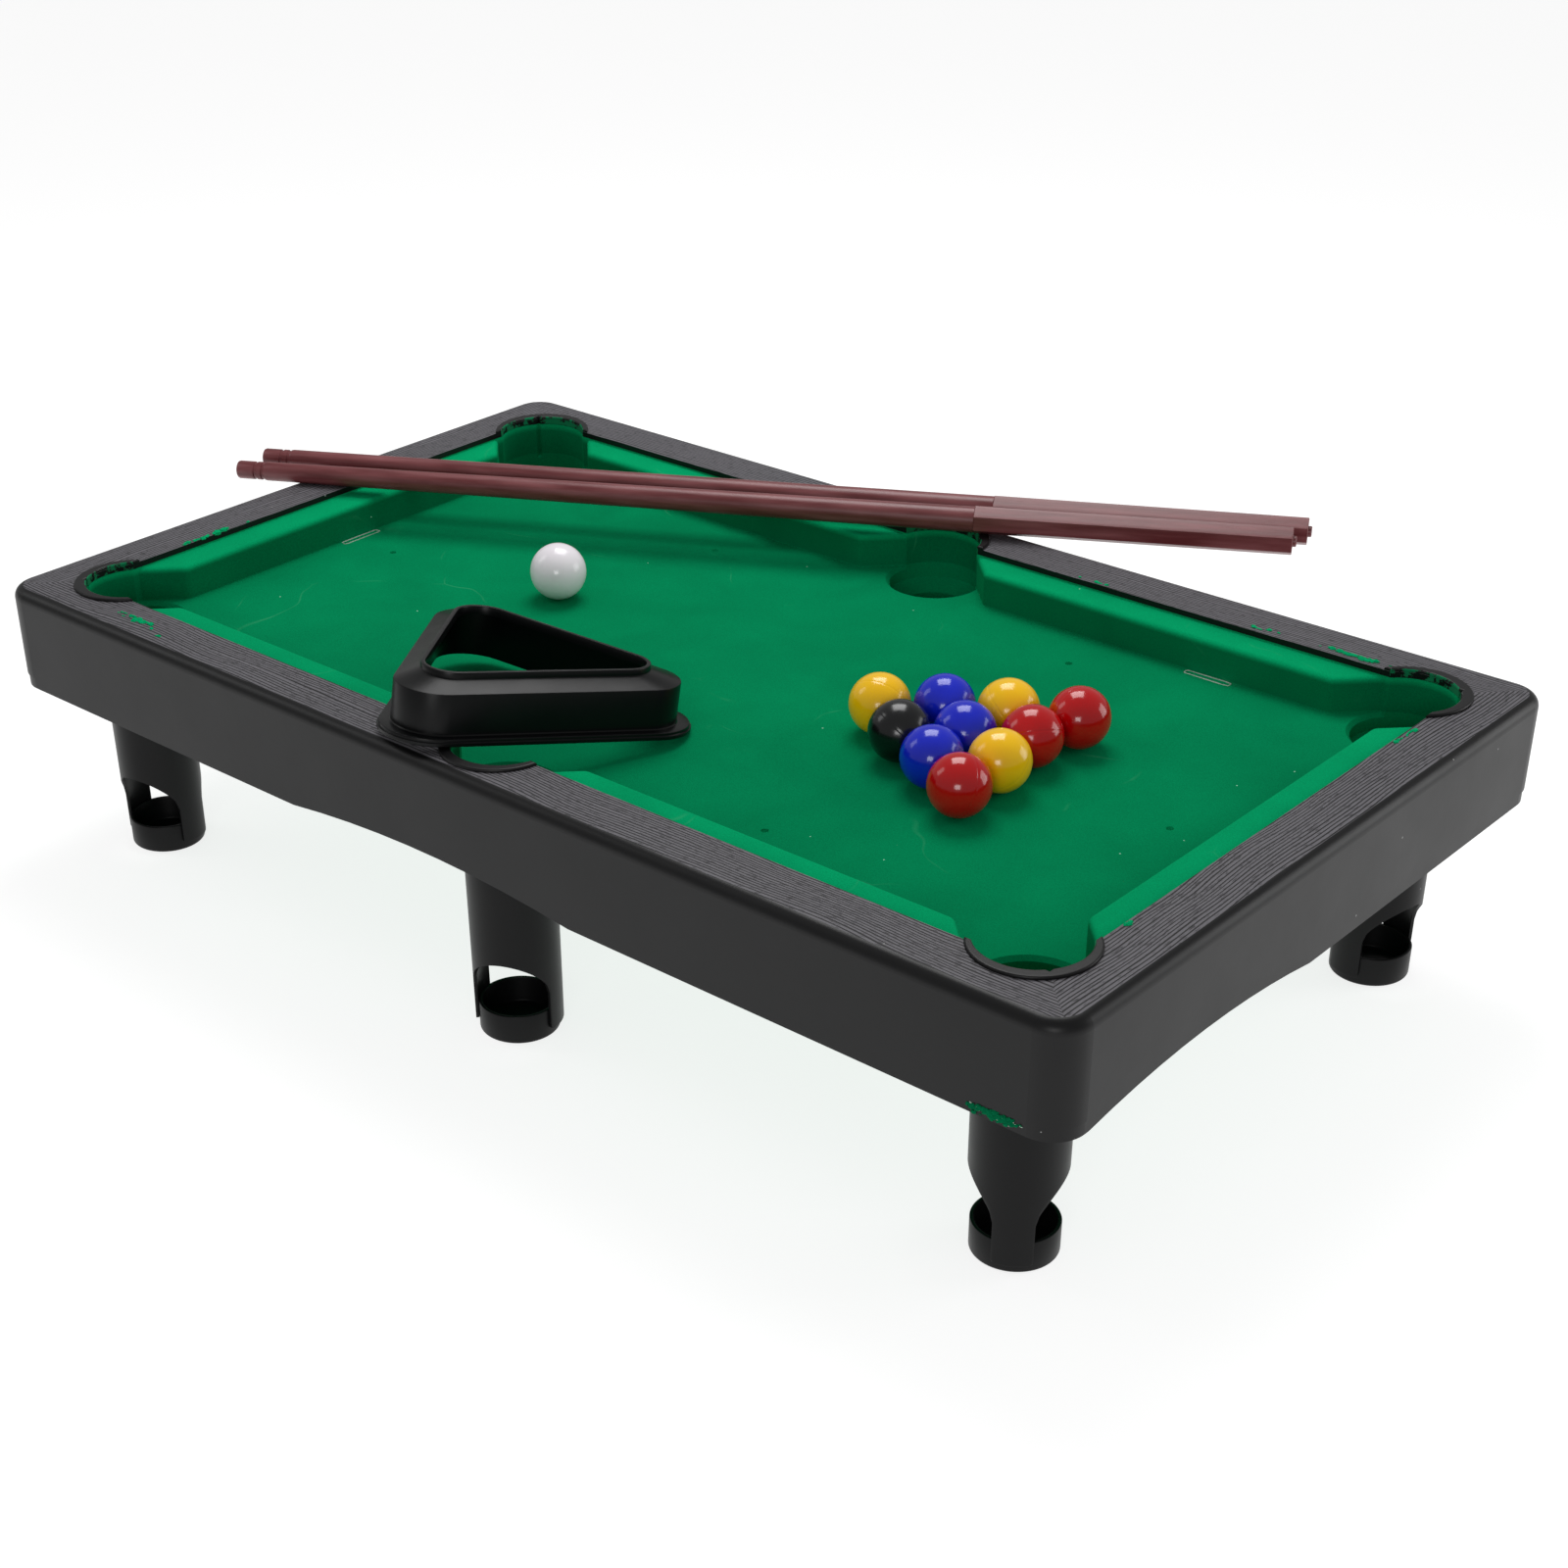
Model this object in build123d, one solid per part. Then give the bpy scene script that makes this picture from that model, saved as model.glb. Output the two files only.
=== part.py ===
from build123d import *
import os
from math import asin, atan2, copysign, cos, degrees, radians, sin, sqrt, tan

# A tabletop pool table with its balls, cues and rack. Millimetres, +Z up, +X along the length,
# +Y away from the front long side. The origin is on the floor, below the middle of the bed.

# ---- Rail frame: one moulded shell, open below ----
TABLE_LENGTH = 510.0
TABLE_WIDTH = 300.0
TABLE_CORNER_RADIUS = 12.7
RAIL_TOP = 113.6  # floor to the flat top of the rails
RAIL_WIDTH = 23.2  # outer face of the skirt to the rail's inner edge
RAIL_PLATE = 2.2  # thickness of the flat rail top
RAIL_EDGE_RADIUS = 4.5  # rounding of the rail's outer top edge
SKIRT_BOTTOM = 72.4
SKIRT_WALL = 2.2
BAND_HEIGHT = 4.8  # lower band of the skirt, set back from the face above it
BAND_SETBACK = 0.5

# The skirt's lower edge rises in one shallow arch on each side: span, rise, centre along the side.
LONG_ARCH = (140.0, 4.7, -15.0)
SHORT_ARCH = (126.0, 5.2, -72.0)

# ---- Pockets ----
POCKET_RADIUS = 18.3
COLLAR_WIDTH = 2.6  # raised crescent collar round each pocket, before it is shifted
COLLAR_SHIFT = 2.0  # the crescent's outer circle, away from the field
COLLAR_HEIGHT = 1.2
COLLAR_EDGE_RADIUS = 0.7
CORNER_COLLAR_MARGIN_X = 15.7  # collar to the outer face of the short side
CORNER_COLLAR_MARGIN_Y = 13.4  # collar to the outer face of the long side
MIDDLE_COLLAR_MARGIN = 4.6

# ---- Bed tray: one flocked moulding, hung below the rail plate ----
TRAY_WALL = 1.6
BED_TOP = 97.1
CUSHION_TOP = 110.8
CUSHION_DEPTH = 13.4  # rail's inner edge to the cushion's nose
CUSHION_EDGE_RADIUS = 2.2
CUSHION_CORNER_RADIUS = 4.0
CORNER_END_ANGLE = 45.0  # cut of a cushion's end beside a corner pocket
CORNER_END_MARGIN = 1.8  # that cut to the pocket's edge
MIDDLE_END_ANGLE = 45.0
MIDDLE_END_MARGIN = 0.4  # back corner beside a middle pocket to the pocket's edge, along the rail
PLATE_GAP = 0.2  # tray rim to the underside of the rail plate
TRAY_SIDE_GAP = 1.0  # tray flange to the inside of the skirt
FLANGE_DROP = 7.4  # underside of the rail plate to the top of the tray flange
WELL_DEPTH = 6.1  # straight well below the bed's top face
FUNNEL_DEPTH = 5.0
SPIGOT_LENGTH = 18.0
HOLE_LEAD_IN = 1.5  # rounded-off edge of the bed round each pocket
BED_HOLE_RADIUS = 1.4
BED_HOLE_END = 39.0  # hole on the centre line, to the rail's inner edge
BED_HOLE_X = 90.0
BED_HOLE_SIDE = 37.8  # holes beside the long cushions, to the rail's inner edge
SLOT_LENGTH = 19.6
SLOT_WIDTH = 3.0
SLOT_GAP = 0.3  # slot to the foot of the cushion's nose
LONG_SLOT_X = 137.4
SHORT_SLOT_Y = 3.2

# ---- Tray screws and the bosses that take them ----
SCREW_LONG_SIDE_X = 110.0
SCREW_SHORT_SIDE_Y = 50.0
BOSS_RADIUS = 3.4
SCREW_CORE_RADIUS = 1.3
SCREW_LENGTH = 8.0
SCREW_HEAD_RADIUS = 2.7
SCREW_HEAD_HEIGHT = 1.8
SCREW_CLEARANCE = 0.3  # radial, where the screw passes through the tray
THREAD_GAP = 0.05  # radial, core of the screw to the boss bore
RECESS_WIDTH = 0.9
RECESS_DEPTH = 1.0

# ---- Legs and the ball cups at their feet ----
LEG_BORE_RADIUS = 14.9
LEG_TOP_WALL = 1.5
LEG_FOOT_WALL = 1.2
LEG_FIT = 0.15  # radial, tray spigot inside the leg
STRUT_BOTTOM = 3.5
WINDOW_WIDTH = 29.2
WINDOW_SPRING = 19.0  # height at which the window's round top begins
STRUT_CORNER_RADIUS = 1.4
CUP_FIT = 0.1  # radial, cup inside the struts
CUP_HEIGHT = 11.6
CUP_WALL = 1.4
CUP_FLOOR = 1.5
CUP_FOOT_RADIUS = 1.2
# Direction in which each leg's struts stand, in degrees from +X. They are pushed on by hand.
STRUT_TURN = {
    "front_left": 11.0,
    "front_middle": 26.0,
    "front_right": -58.0,
    "rear_left": 35.0,
    "rear_middle": -20.0,
    "rear_right": -102.0,
}

# ---- Balls ----
BALL_RADIUS = 11.3
REST_GAP = 0.1  # loose pieces stand this far off what they rest on
BALL_PITCH = 22.9  # between neighbours of the loosely racked balls
APEX_INSET = 182.4  # first ball to the outer face of the right short side
RACK_LINE_Y = -3.2
CUE_BALL_PLACE = (-104.3, 10.1)
# Name, row, place in the row, and how far the ball has rolled from its racked place.
RACKED_BALLS = [
    ("yellow_1", 0, 0, (-0.4, -1.5)),
    ("black", 1, 0, (-1.0, -3.2)),
    ("blue_1", 1, 1, (-1.8, 1.2)),
    ("blue_2", 2, 0, (0.5, -0.9)),
    ("blue_3", 2, 1, (-2.6, -0.8)),
    ("yellow_2", 2, 2, (-1.9, 1.3)),
    ("red_1", 3, 0, (0.8, -0.6)),
    ("yellow_3", 3, 1, (0.2, 0.3)),
    ("red_2", 3, 2, (-2.5, 0.2)),
    ("red_3", 3, 3, (1.5, 0.5)),
]

# ---- Cues ----
CUE_LENGTH = 450.0
CUE_SHAFT_LENGTH = 321.3
CUE_TIP_RADIUS = 3.8
CUE_FERRULE_RADIUS = 4.0  # start of the taper, behind the grooves
CUE_SHAFT_RADIUS = 5.2  # end of the taper, at the butt
CUE_TIP_ROUNDING = 1.2
CUE_GROOVES = (8.0, 11.4)  # distance of each ring groove from the tip
CUE_GROOVE_WIDTH = 1.2
CUE_GROOVE_DEPTH = 0.45
CUE_BUTT_ACROSS_FLATS = 10.2
CUE_NUB_RADIUS = 2.2
CUE_NUB_LENGTH = 1.5
# Tip past the left short side, tip's Y, and the X where the cue leaves over the rear long side.
FRONT_CUE = (21.5, -11.6, 28.9)
REAR_CUE = (24.3, 5.4, -5.8)

# ---- Triangle rack ----
RACK_WALL = 1.7
RACK_FLANGE = (41.6, 18.3)  # distance from the centre to a side, and corner radius
RACK_STEP_WIDTH = 0.7
RACK_BODY = (37.4, 15.4)
RACK_LIP = (29.5, 11.1)
RACK_FLANGE_HEIGHTS = (1.4, 2.6)  # top of the lower step, top of the flange
RACK_SHOULDER_HEIGHT = 17.4
RACK_LIP_FOOT = 20.2
RACK_HEIGHT = 22.6
RACK_CENTRE_X = -31.3
RACK_FROM_RAIL = 39.5  # rack centre to the inner edge of the front rail
RACK_TURN = 66.4
RACK_TIP_DIRECTION = -7.2  # level line that the rack tips about, from +X
RACK_EDGE_CONTACT_X = -44.8  # where its flange crosses the rail's inner edge
RACK_COLLAR_CONTACT = (-13.4, -12.5)  # where it rests on the middle collar, from the pocket's centre

# ---- Derived sizes ----
HALF_LENGTH = TABLE_LENGTH / 2
HALF_WIDTH = TABLE_WIDTH / 2
RAIL_INNER_X = HALF_LENGTH - RAIL_WIDTH
RAIL_INNER_Y = HALF_WIDTH - RAIL_WIDTH
PLATE_UNDERSIDE = RAIL_TOP - RAIL_PLATE
COLLAR_RADIUS = POCKET_RADIUS + COLLAR_WIDTH
COLLAR_TOP = RAIL_TOP + COLLAR_HEIGHT
CORNER_COLLAR_SHIFT = COLLAR_SHIFT * cos(radians(45))
CORNER_X = HALF_LENGTH - CORNER_COLLAR_MARGIN_X - COLLAR_RADIUS - CORNER_COLLAR_SHIFT
CORNER_Y = HALF_WIDTH - CORNER_COLLAR_MARGIN_Y - COLLAR_RADIUS - CORNER_COLLAR_SHIFT
MIDDLE_Y = HALF_WIDTH - MIDDLE_COLLAR_MARGIN - COLLAR_RADIUS - COLLAR_SHIFT
RIM_TOP = PLATE_UNDERSIDE - PLATE_GAP
FLANGE_TOP = PLATE_UNDERSIDE - FLANGE_DROP
WELL_BOTTOM = BED_TOP - WELL_DEPTH
FUNNEL_BOTTOM = WELL_BOTTOM - FUNNEL_DEPTH
SPIGOT_RADIUS = LEG_BORE_RADIUS - LEG_FIT
SEAT_X = (RAIL_INNER_X + TRAY_WALL + HALF_LENGTH - SKIRT_WALL) / 2
SEAT_Y = (RAIL_INNER_Y + TRAY_WALL + HALF_WIDTH - SKIRT_WALL) / 2
CUT = 1.0  # how far a cutting shape runs past the face it cuts

POCKETS = {
    "front_left": (-CORNER_X, -CORNER_Y),
    "front_middle": (0.0, -MIDDLE_Y),
    "front_right": (CORNER_X, -CORNER_Y),
    "rear_left": (-CORNER_X, CORNER_Y),
    "rear_middle": (0.0, MIDDLE_Y),
    "rear_right": (CORNER_X, CORNER_Y),
}

SCREW_PLACES = [
    *((x, y) for x in (-SCREW_LONG_SIDE_X, SCREW_LONG_SIDE_X) for y in (-SEAT_Y, SEAT_Y)),
    *((x, y) for x in (-SEAT_X, SEAT_X) for y in (-SCREW_SHORT_SIDE_Y, SCREW_SHORT_SIDE_Y)),
]


# ---- Helpers ----
def slab(sketch, bottom, top):
    """A flat sketch as a solid from one height to another."""
    return extrude(Pos(0, 0, bottom) * sketch, amount=top - bottom, dir=(0, 0, 1))


def upright(radius, bottom, top, place=(0.0, 0.0)):
    """An upright cylinder between two heights."""
    return Pos(*place, (bottom + top) / 2) * Cylinder(radius, top - bottom)


def turned(outline):
    """A solid turned about Z from (radius, height) points."""
    return revolve(make_face(Polyline(*[(r, 0, z) for r, z in outline], close=True)), Axis.Z)


def footprint(setback):
    """The table's outline, set back from its outer faces."""
    radius = max(TABLE_CORNER_RADIUS - setback, CUT)
    return RectangleRounded(TABLE_LENGTH - 2 * setback, TABLE_WIDTH - 2 * setback, radius)


def opening():
    """The outline inside the rails: the field and the six pocket circles."""
    outline = Rectangle(2 * RAIL_INNER_X, 2 * RAIL_INNER_Y)
    for place in POCKETS.values():
        outline += Pos(*place) * Circle(POCKET_RADIUS)
    return outline


# ---- Rail frame ----
def arch(span, rise, centre, bottom, reach):
    """A shallow arch along X, cut through one wall at Y = 0, on a base at the given height."""
    left, right = (centre - span / 2, bottom), (centre + span / 2, bottom)
    foot_left, foot_right = (left[0], bottom - BAND_HEIGHT), (right[0], bottom - BAND_HEIGHT)
    edge = ThreePointArc(left, (centre, bottom + rise), right)
    face = make_face(edge + Polyline(right, foot_right, foot_left, left))
    return extrude(Plane.XZ * face, amount=reach, both=True)


def arches(base):
    """The four arches of the skirt's lower edge, on a base at the given height."""
    reach = TABLE_CORNER_RADIUS
    long_side = Pos(0, -HALF_WIDTH, 0) * arch(*LONG_ARCH, base, reach)
    short_side = Pos(HALF_LENGTH, 0, 0) * Rot(0, 0, 90) * arch(*SHORT_ARCH, base, reach)
    return [long_side, Rot(0, 0, 180) * long_side, short_side, Rot(0, 0, 180) * short_side]


def collar(place):
    """One raised crescent collar, left open where the pocket meets the field."""
    x, y = place
    away = CORNER_COLLAR_SHIFT if x else COLLAR_SHIFT
    shift = (copysign(away, x) if x else 0, copysign(away, y))
    ring = Pos(*shift) * Circle(COLLAR_RADIUS) - Circle(POCKET_RADIUS)
    ring = Pos(*place) * ring
    ring -= Rectangle(2 * RAIL_INNER_X, 2 * RAIL_INNER_Y)
    solid = slab(ring, RAIL_TOP - RAIL_PLATE / 2, COLLAR_TOP)
    return fillet(solid.faces().sort_by(Axis.Z)[-1].edges(), COLLAR_EDGE_RADIUS)


def boss(place):
    """One screw boss, from the rail plate down to the tray flange."""
    return upright(BOSS_RADIUS, FLANGE_TOP, PLATE_UNDERSIDE + RAIL_PLATE / 2, place)


def rail_frame():
    """The moulded frame: rails, skirt with its lower band, pocket collars and screw bosses."""
    shell = slab(footprint(0), SKIRT_BOTTOM, RAIL_TOP)
    shell = fillet(shell.faces().sort_by(Axis.Z)[-1].edges(), RAIL_EDGE_RADIUS)
    band = slab(footprint(-CUT) - footprint(BAND_SETBACK), SKIRT_BOTTOM - CUT, SKIRT_BOTTOM + BAND_HEIGHT)
    shell -= band
    ring = slab(footprint(-CUT) - footprint(BAND_SETBACK), SKIRT_BOTTOM, RAIL_TOP)
    for cut in arches(SKIRT_BOTTOM + BAND_HEIGHT):
        shell -= cut & ring
    hollow = slab(footprint(SKIRT_WALL), SKIRT_BOTTOM - CUT, PLATE_UNDERSIDE)
    inner_edge_radius = RAIL_EDGE_RADIUS - SKIRT_WALL
    shell -= fillet(hollow.faces().sort_by(Axis.Z)[-1].edges(), inner_edge_radius)
    for cut in arches(SKIRT_BOTTOM):
        shell -= cut
    shell -= slab(opening(), PLATE_UNDERSIDE - CUT, RAIL_TOP + CUT)
    for place in POCKETS.values():
        shell += collar(place)
    for place in SCREW_PLACES:
        shell += boss(place)
        shell -= upright(SCREW_CORE_RADIUS + THREAD_GAP, FLANGE_TOP - CUT, PLATE_UNDERSIDE, place)
    return shell


# ---- Cushions ----
def corner_reach(pocket_inset):
    """From a corner pocket's centre to the nose corner of the cushion beside it, along the rail."""
    a = radians(CORNER_END_ANGLE)
    return (POCKET_RADIUS + CORNER_END_MARGIN - (pocket_inset - CUSHION_DEPTH) * sin(a)) / cos(a)


def middle_reach():
    """From a middle pocket's centre to the nose corner of the cushion beside it, along the rail."""
    mouth = sqrt(POCKET_RADIUS**2 - (RAIL_INNER_Y - MIDDLE_Y) ** 2)
    return mouth + MIDDLE_END_MARGIN + CUSHION_DEPTH * tan(radians(MIDDLE_END_ANGLE))


def cushion_outline(start, end, start_angle, end_angle):
    """A cushion in plan: along X from nose corner to nose corner, its back at Y = 0."""
    spread_start = CUSHION_DEPTH * tan(radians(start_angle))
    spread_end = CUSHION_DEPTH * tan(radians(end_angle))
    nose = [(end, CUSHION_DEPTH), (start, CUSHION_DEPTH)]
    back = [(start - spread_start, 0), (end + spread_end, 0)]
    outline = Polygon(*nose, *back, align=None)
    return fillet(outline.vertices().sort_by(Axis.Y)[-2:], CUSHION_CORNER_RADIUS)


def cushion_hollow(outline):
    """The hollow below a cushion, open through the bed."""
    return slab(offset(outline, -TRAY_WALL), BED_TOP - TRAY_WALL - CUT, CUSHION_TOP - TRAY_WALL)


def cushion(outline):
    """One hollow cushion on the bed, rounded on its nose and ends."""
    solid = slab(outline, BED_TOP, CUSHION_TOP)
    top = solid.faces().sort_by(Axis.Z)[-1]
    return fillet(top.edges().sort_by(Axis.Y)[1:], CUSHION_EDGE_RADIUS) - cushion_hollow(outline)


def cushions(make):
    """The six cushions by name, each made by the given function and put in its place."""
    long_outline = cushion_outline(
        middle_reach(), CORNER_X - corner_reach(RAIL_INNER_Y - CORNER_Y), MIDDLE_END_ANGLE, CORNER_END_ANGLE
    )
    short_half = CORNER_Y - corner_reach(RAIL_INNER_X - CORNER_X)
    short_outline = cushion_outline(-short_half, short_half, CORNER_END_ANGLE, CORNER_END_ANGLE)
    front_right = Pos(0, -RAIL_INNER_Y, 0) * make(long_outline)
    front_left = mirror(front_right, Plane.YZ)
    right = Pos(RAIL_INNER_X, 0, 0) * Rot(0, 0, 90) * make(short_outline)
    return {
        "front_left": front_left,
        "front_right": front_right,
        "rear_left": mirror(front_left, Plane.XZ),
        "rear_right": mirror(front_right, Plane.XZ),
        "left": mirror(right, Plane.YZ),
        "right": right,
    }


# ---- Bed tray ----
def well_outside(place):
    """The outside of a pocket's well, funnel and leg spigot."""
    outer = POCKET_RADIUS + TRAY_WALL
    middle = BED_TOP - TRAY_WALL / 2
    foot = FUNNEL_BOTTOM - SPIGOT_LENGTH
    outline = [(0, middle), (outer, middle), (outer, WELL_BOTTOM), (SPIGOT_RADIUS, FUNNEL_BOTTOM)]
    return Pos(*place) * turned(outline + [(SPIGOT_RADIUS, foot), (0, foot)])


def well_inside(place):
    """The way of a potted ball: through the bed, down the funnel and out of the spigot."""
    bore = SPIGOT_RADIUS - TRAY_WALL
    foot = FUNNEL_BOTTOM - SPIGOT_LENGTH - CUT
    outline = [(0, RIM_TOP), (POCKET_RADIUS, RIM_TOP), (POCKET_RADIUS, WELL_BOTTOM)]
    return Pos(*place) * turned(outline + [(bore, FUNNEL_BOTTOM), (bore, foot), (0, foot)])


def lead_in(place):
    """The bevel round a pocket where the bed drops into it."""
    low, high = BED_TOP - HOLE_LEAD_IN, BED_TOP + CUT
    wide = POCKET_RADIUS + HOLE_LEAD_IN + CUT
    cone = turned([(0, low), (POCKET_RADIUS, low), (wide, high), (0, high)])
    return (Pos(*place) * cone) & slab(opening(), low, BED_TOP)


def bed_holes():
    """The six small assembly holes through the bed."""
    end_x = RAIL_INNER_X - BED_HOLE_END
    side_y = RAIL_INNER_Y - BED_HOLE_SIDE
    places = [(-end_x, 0), (end_x, 0)]
    places += [(x, y) for x in (-BED_HOLE_X, BED_HOLE_X) for y in (-side_y, side_y)]
    return [upright(BED_HOLE_RADIUS, BED_TOP - TRAY_WALL - CUT, BED_TOP + CUT, p) for p in places]


def bed_slots():
    """The narrow moulded slots at the foot of the cushions."""
    foot = CUSHION_DEPTH + SLOT_GAP + SLOT_WIDTH / 2
    x, y = RAIL_INNER_X - foot, RAIL_INNER_Y - foot
    height = TRAY_WALL + 2 * CUT
    along = Box(SLOT_LENGTH, SLOT_WIDTH, height)
    across = Box(SLOT_WIDTH, SLOT_LENGTH, height)
    middle = BED_TOP - TRAY_WALL / 2
    slots = [Pos(LONG_SLOT_X, y, middle) * along, Pos(-LONG_SLOT_X, -y, middle) * along]
    return slots + [Pos(-x, SHORT_SLOT_Y, middle) * across, Pos(x, -SHORT_SLOT_Y, middle) * across]


def bed_tray():
    """The flocked tray: bed, rim, pocket wells, leg spigots and fixing flange."""
    inside = opening()
    rim = offset(inside, TRAY_WALL, kind=Kind.INTERSECTION)
    tray = slab(inside, BED_TOP - TRAY_WALL, BED_TOP)
    tray += slab(rim - inside, BED_TOP - TRAY_WALL, RIM_TOP)
    tray += slab(footprint(SKIRT_WALL + TRAY_SIDE_GAP) - inside, FLANGE_TOP - TRAY_WALL, FLANGE_TOP)
    for place in POCKETS.values():
        tray += well_outside(place)
    for hollow in cushions(cushion_hollow).values():
        tray -= hollow
    for place in POCKETS.values():
        tray -= well_inside(place)
        tray -= lead_in(place)
    for cut in bed_holes() + bed_slots():
        tray -= cut
    for place in SCREW_PLACES:
        radius = SCREW_CORE_RADIUS + SCREW_CLEARANCE
        tray -= upright(radius, FLANGE_TOP - TRAY_WALL - CUT, FLANGE_TOP + CUT, place)
    return tray


def tray_screw(place):
    """One self-tapping screw, driven up through the tray flange into its boss."""
    seat = FLANGE_TOP - TRAY_WALL
    bottom = seat - SCREW_HEAD_HEIGHT
    head = upright(SCREW_HEAD_RADIUS, bottom, seat, place)
    screw = head + upright(SCREW_CORE_RADIUS, bottom, seat + SCREW_LENGTH, place)
    span = SCREW_HEAD_RADIUS * 1.3
    for turn in (0, 90):
        bar = Box(span, RECESS_WIDTH, 2 * RECESS_DEPTH)
        screw -= Pos(*place, bottom) * Rot(0, 0, turn) * bar
    return screw


# ---- Legs and cups ----
def window_cut(foot_radius, reach):
    """Both windows of a leg: two wedges, with an arched tunnel above them."""
    half_angle = asin(WINDOW_WIDTH / 2 / foot_radius)
    spread = reach * sin(half_angle) / cos(half_angle)
    wedge = slab(Polygon((0, 0), (reach, -spread), (reach, spread), align=None), 0, WINDOW_SPRING)
    arch_top = Rot(0, 90, 0) * Cylinder(WINDOW_WIDTH / 2, 2 * reach)
    return wedge + mirror(wedge, Plane.YZ) + Pos(0, 0, WINDOW_SPRING) * arch_top


def leg(place, strut_turn):
    """A push-on leg: a tapered tube with two arched windows, which leave two struts."""
    height = FUNNEL_BOTTOM - STRUT_BOTTOM
    foot_radius = LEG_BORE_RADIUS + LEG_FOOT_WALL
    top_radius = LEG_BORE_RADIUS + LEG_TOP_WALL
    tube = Pos(0, 0, STRUT_BOTTOM + height / 2) * Cone(foot_radius, top_radius, height)
    tube -= upright(LEG_BORE_RADIUS, 0, FUNNEL_BOTTOM + CUT)
    tube -= window_cut(foot_radius, top_radius + CUT)
    foot_edges = tube.faces().sort_by(Axis.Z)[:2].edges()
    corners = foot_edges.filter_by(GeomType.LINE)
    tube = fillet(corners, STRUT_CORNER_RADIUS)
    return Pos(*place) * Rot(0, 0, strut_turn - 90) * tube


def cup(place):
    """The shallow cup held between a leg's struts, which catches the potted ball."""
    radius = LEG_BORE_RADIUS - CUP_FIT
    body = upright(radius, 0, CUP_HEIGHT)
    body = fillet(body.edges().sort_by(Axis.Z)[0], CUP_FOOT_RADIUS)
    body -= upright(radius - CUP_WALL, CUP_FLOOR, CUP_HEIGHT + CUT)
    return Pos(*place) * body


# ---- Loose pieces ----
def ball(place):
    """A ball at rest on the bed."""
    return Pos(*place, BED_TOP + REST_GAP + BALL_RADIUS) * Sphere(BALL_RADIUS)


def racked_place(row, place, rolled):
    """Where a ball of the triangle lies on the bed."""
    x = HALF_LENGTH - APEX_INSET + row * BALL_PITCH * cos(radians(30)) + rolled[0]
    y = RACK_LINE_Y + (place - row / 2) * BALL_PITCH + rolled[1]
    return x, y


def cue():
    """A cue along +X from its tip: grooved tip, tapered shaft, six-sided butt and end nub."""
    points = [(0, 0), (0, CUE_TIP_RADIUS)]
    for start in CUE_GROOVES:
        end = start + CUE_GROOVE_WIDTH
        floor = CUE_TIP_RADIUS - CUE_GROOVE_DEPTH
        points += [(start, CUE_TIP_RADIUS), (start, floor), (end, floor), (end, CUE_TIP_RADIUS)]
    points[-1] = (points[-1][0], CUE_FERRULE_RADIUS)
    points += [(CUE_SHAFT_LENGTH, CUE_SHAFT_RADIUS), (CUE_SHAFT_LENGTH, 0)]
    shaft = revolve(make_face(Polyline(*points, close=True)), Axis.X)
    shaft = fillet(shaft.edges().sort_by(Axis.X)[0], CUE_TIP_ROUNDING)
    butt_end = CUE_LENGTH - CUE_NUB_LENGTH
    hexagon = RegularPolygon(CUE_BUTT_ACROSS_FLATS / 2, 6, major_radius=False)
    butt = extrude(Plane.YZ * hexagon, amount=butt_end - CUE_SHAFT_LENGTH)
    nub_middle = CUE_LENGTH - CUE_NUB_LENGTH / 2
    nub = Pos(nub_middle, 0, 0) * Rot(0, 90, 0) * Cylinder(CUE_NUB_RADIUS, CUE_NUB_LENGTH)
    return shaft + Pos(CUE_SHAFT_LENGTH, 0, 0) * butt + nub


def shaft_radius(distance):
    """The cue's radius below its axis at a distance from its tip."""
    share = min(distance / CUE_SHAFT_LENGTH, 1.0)
    return CUE_FERRULE_RADIUS + (CUE_SHAFT_RADIUS - CUE_FERRULE_RADIUS) * share


def laid_cue(overhang, tip_y, exit_x, far_support):
    """A cue laid across the left short rail and the rear long rail."""
    tip_x = -HALF_LENGTH - overhang
    heading = atan2(HALF_WIDTH - tip_y, exit_x - tip_x)
    near = (-RAIL_INNER_X - tip_x) / cos(heading)
    far = (HALF_WIDTH - RAIL_EDGE_RADIUS - tip_y) / sin(heading)
    near_height = RAIL_TOP + REST_GAP + shaft_radius(near)
    far_height = far_support + REST_GAP + shaft_radius(far)
    pitch = atan2(far_height - near_height, far - near)
    tip_height = near_height - near * sin(pitch) / cos(pitch)
    lying = Rot(0, -degrees(pitch), 0) * cue()
    return Pos(tip_x, tip_y, tip_height) * Rot(0, 0, degrees(heading)) * lying


def rounded_triangle(size, grow=0.0):
    """An equal-sided triangle with rounded corners, given by its side distance and corner radius."""
    side, corner = size[0] + grow, size[1] + grow
    tips = [(2 * side * cos(radians(a)), 2 * side * sin(radians(a))) for a in (90, 210, 330)]
    triangle = Polygon(*tips, align=None)
    return fillet(triangle.vertices(), corner)


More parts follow.
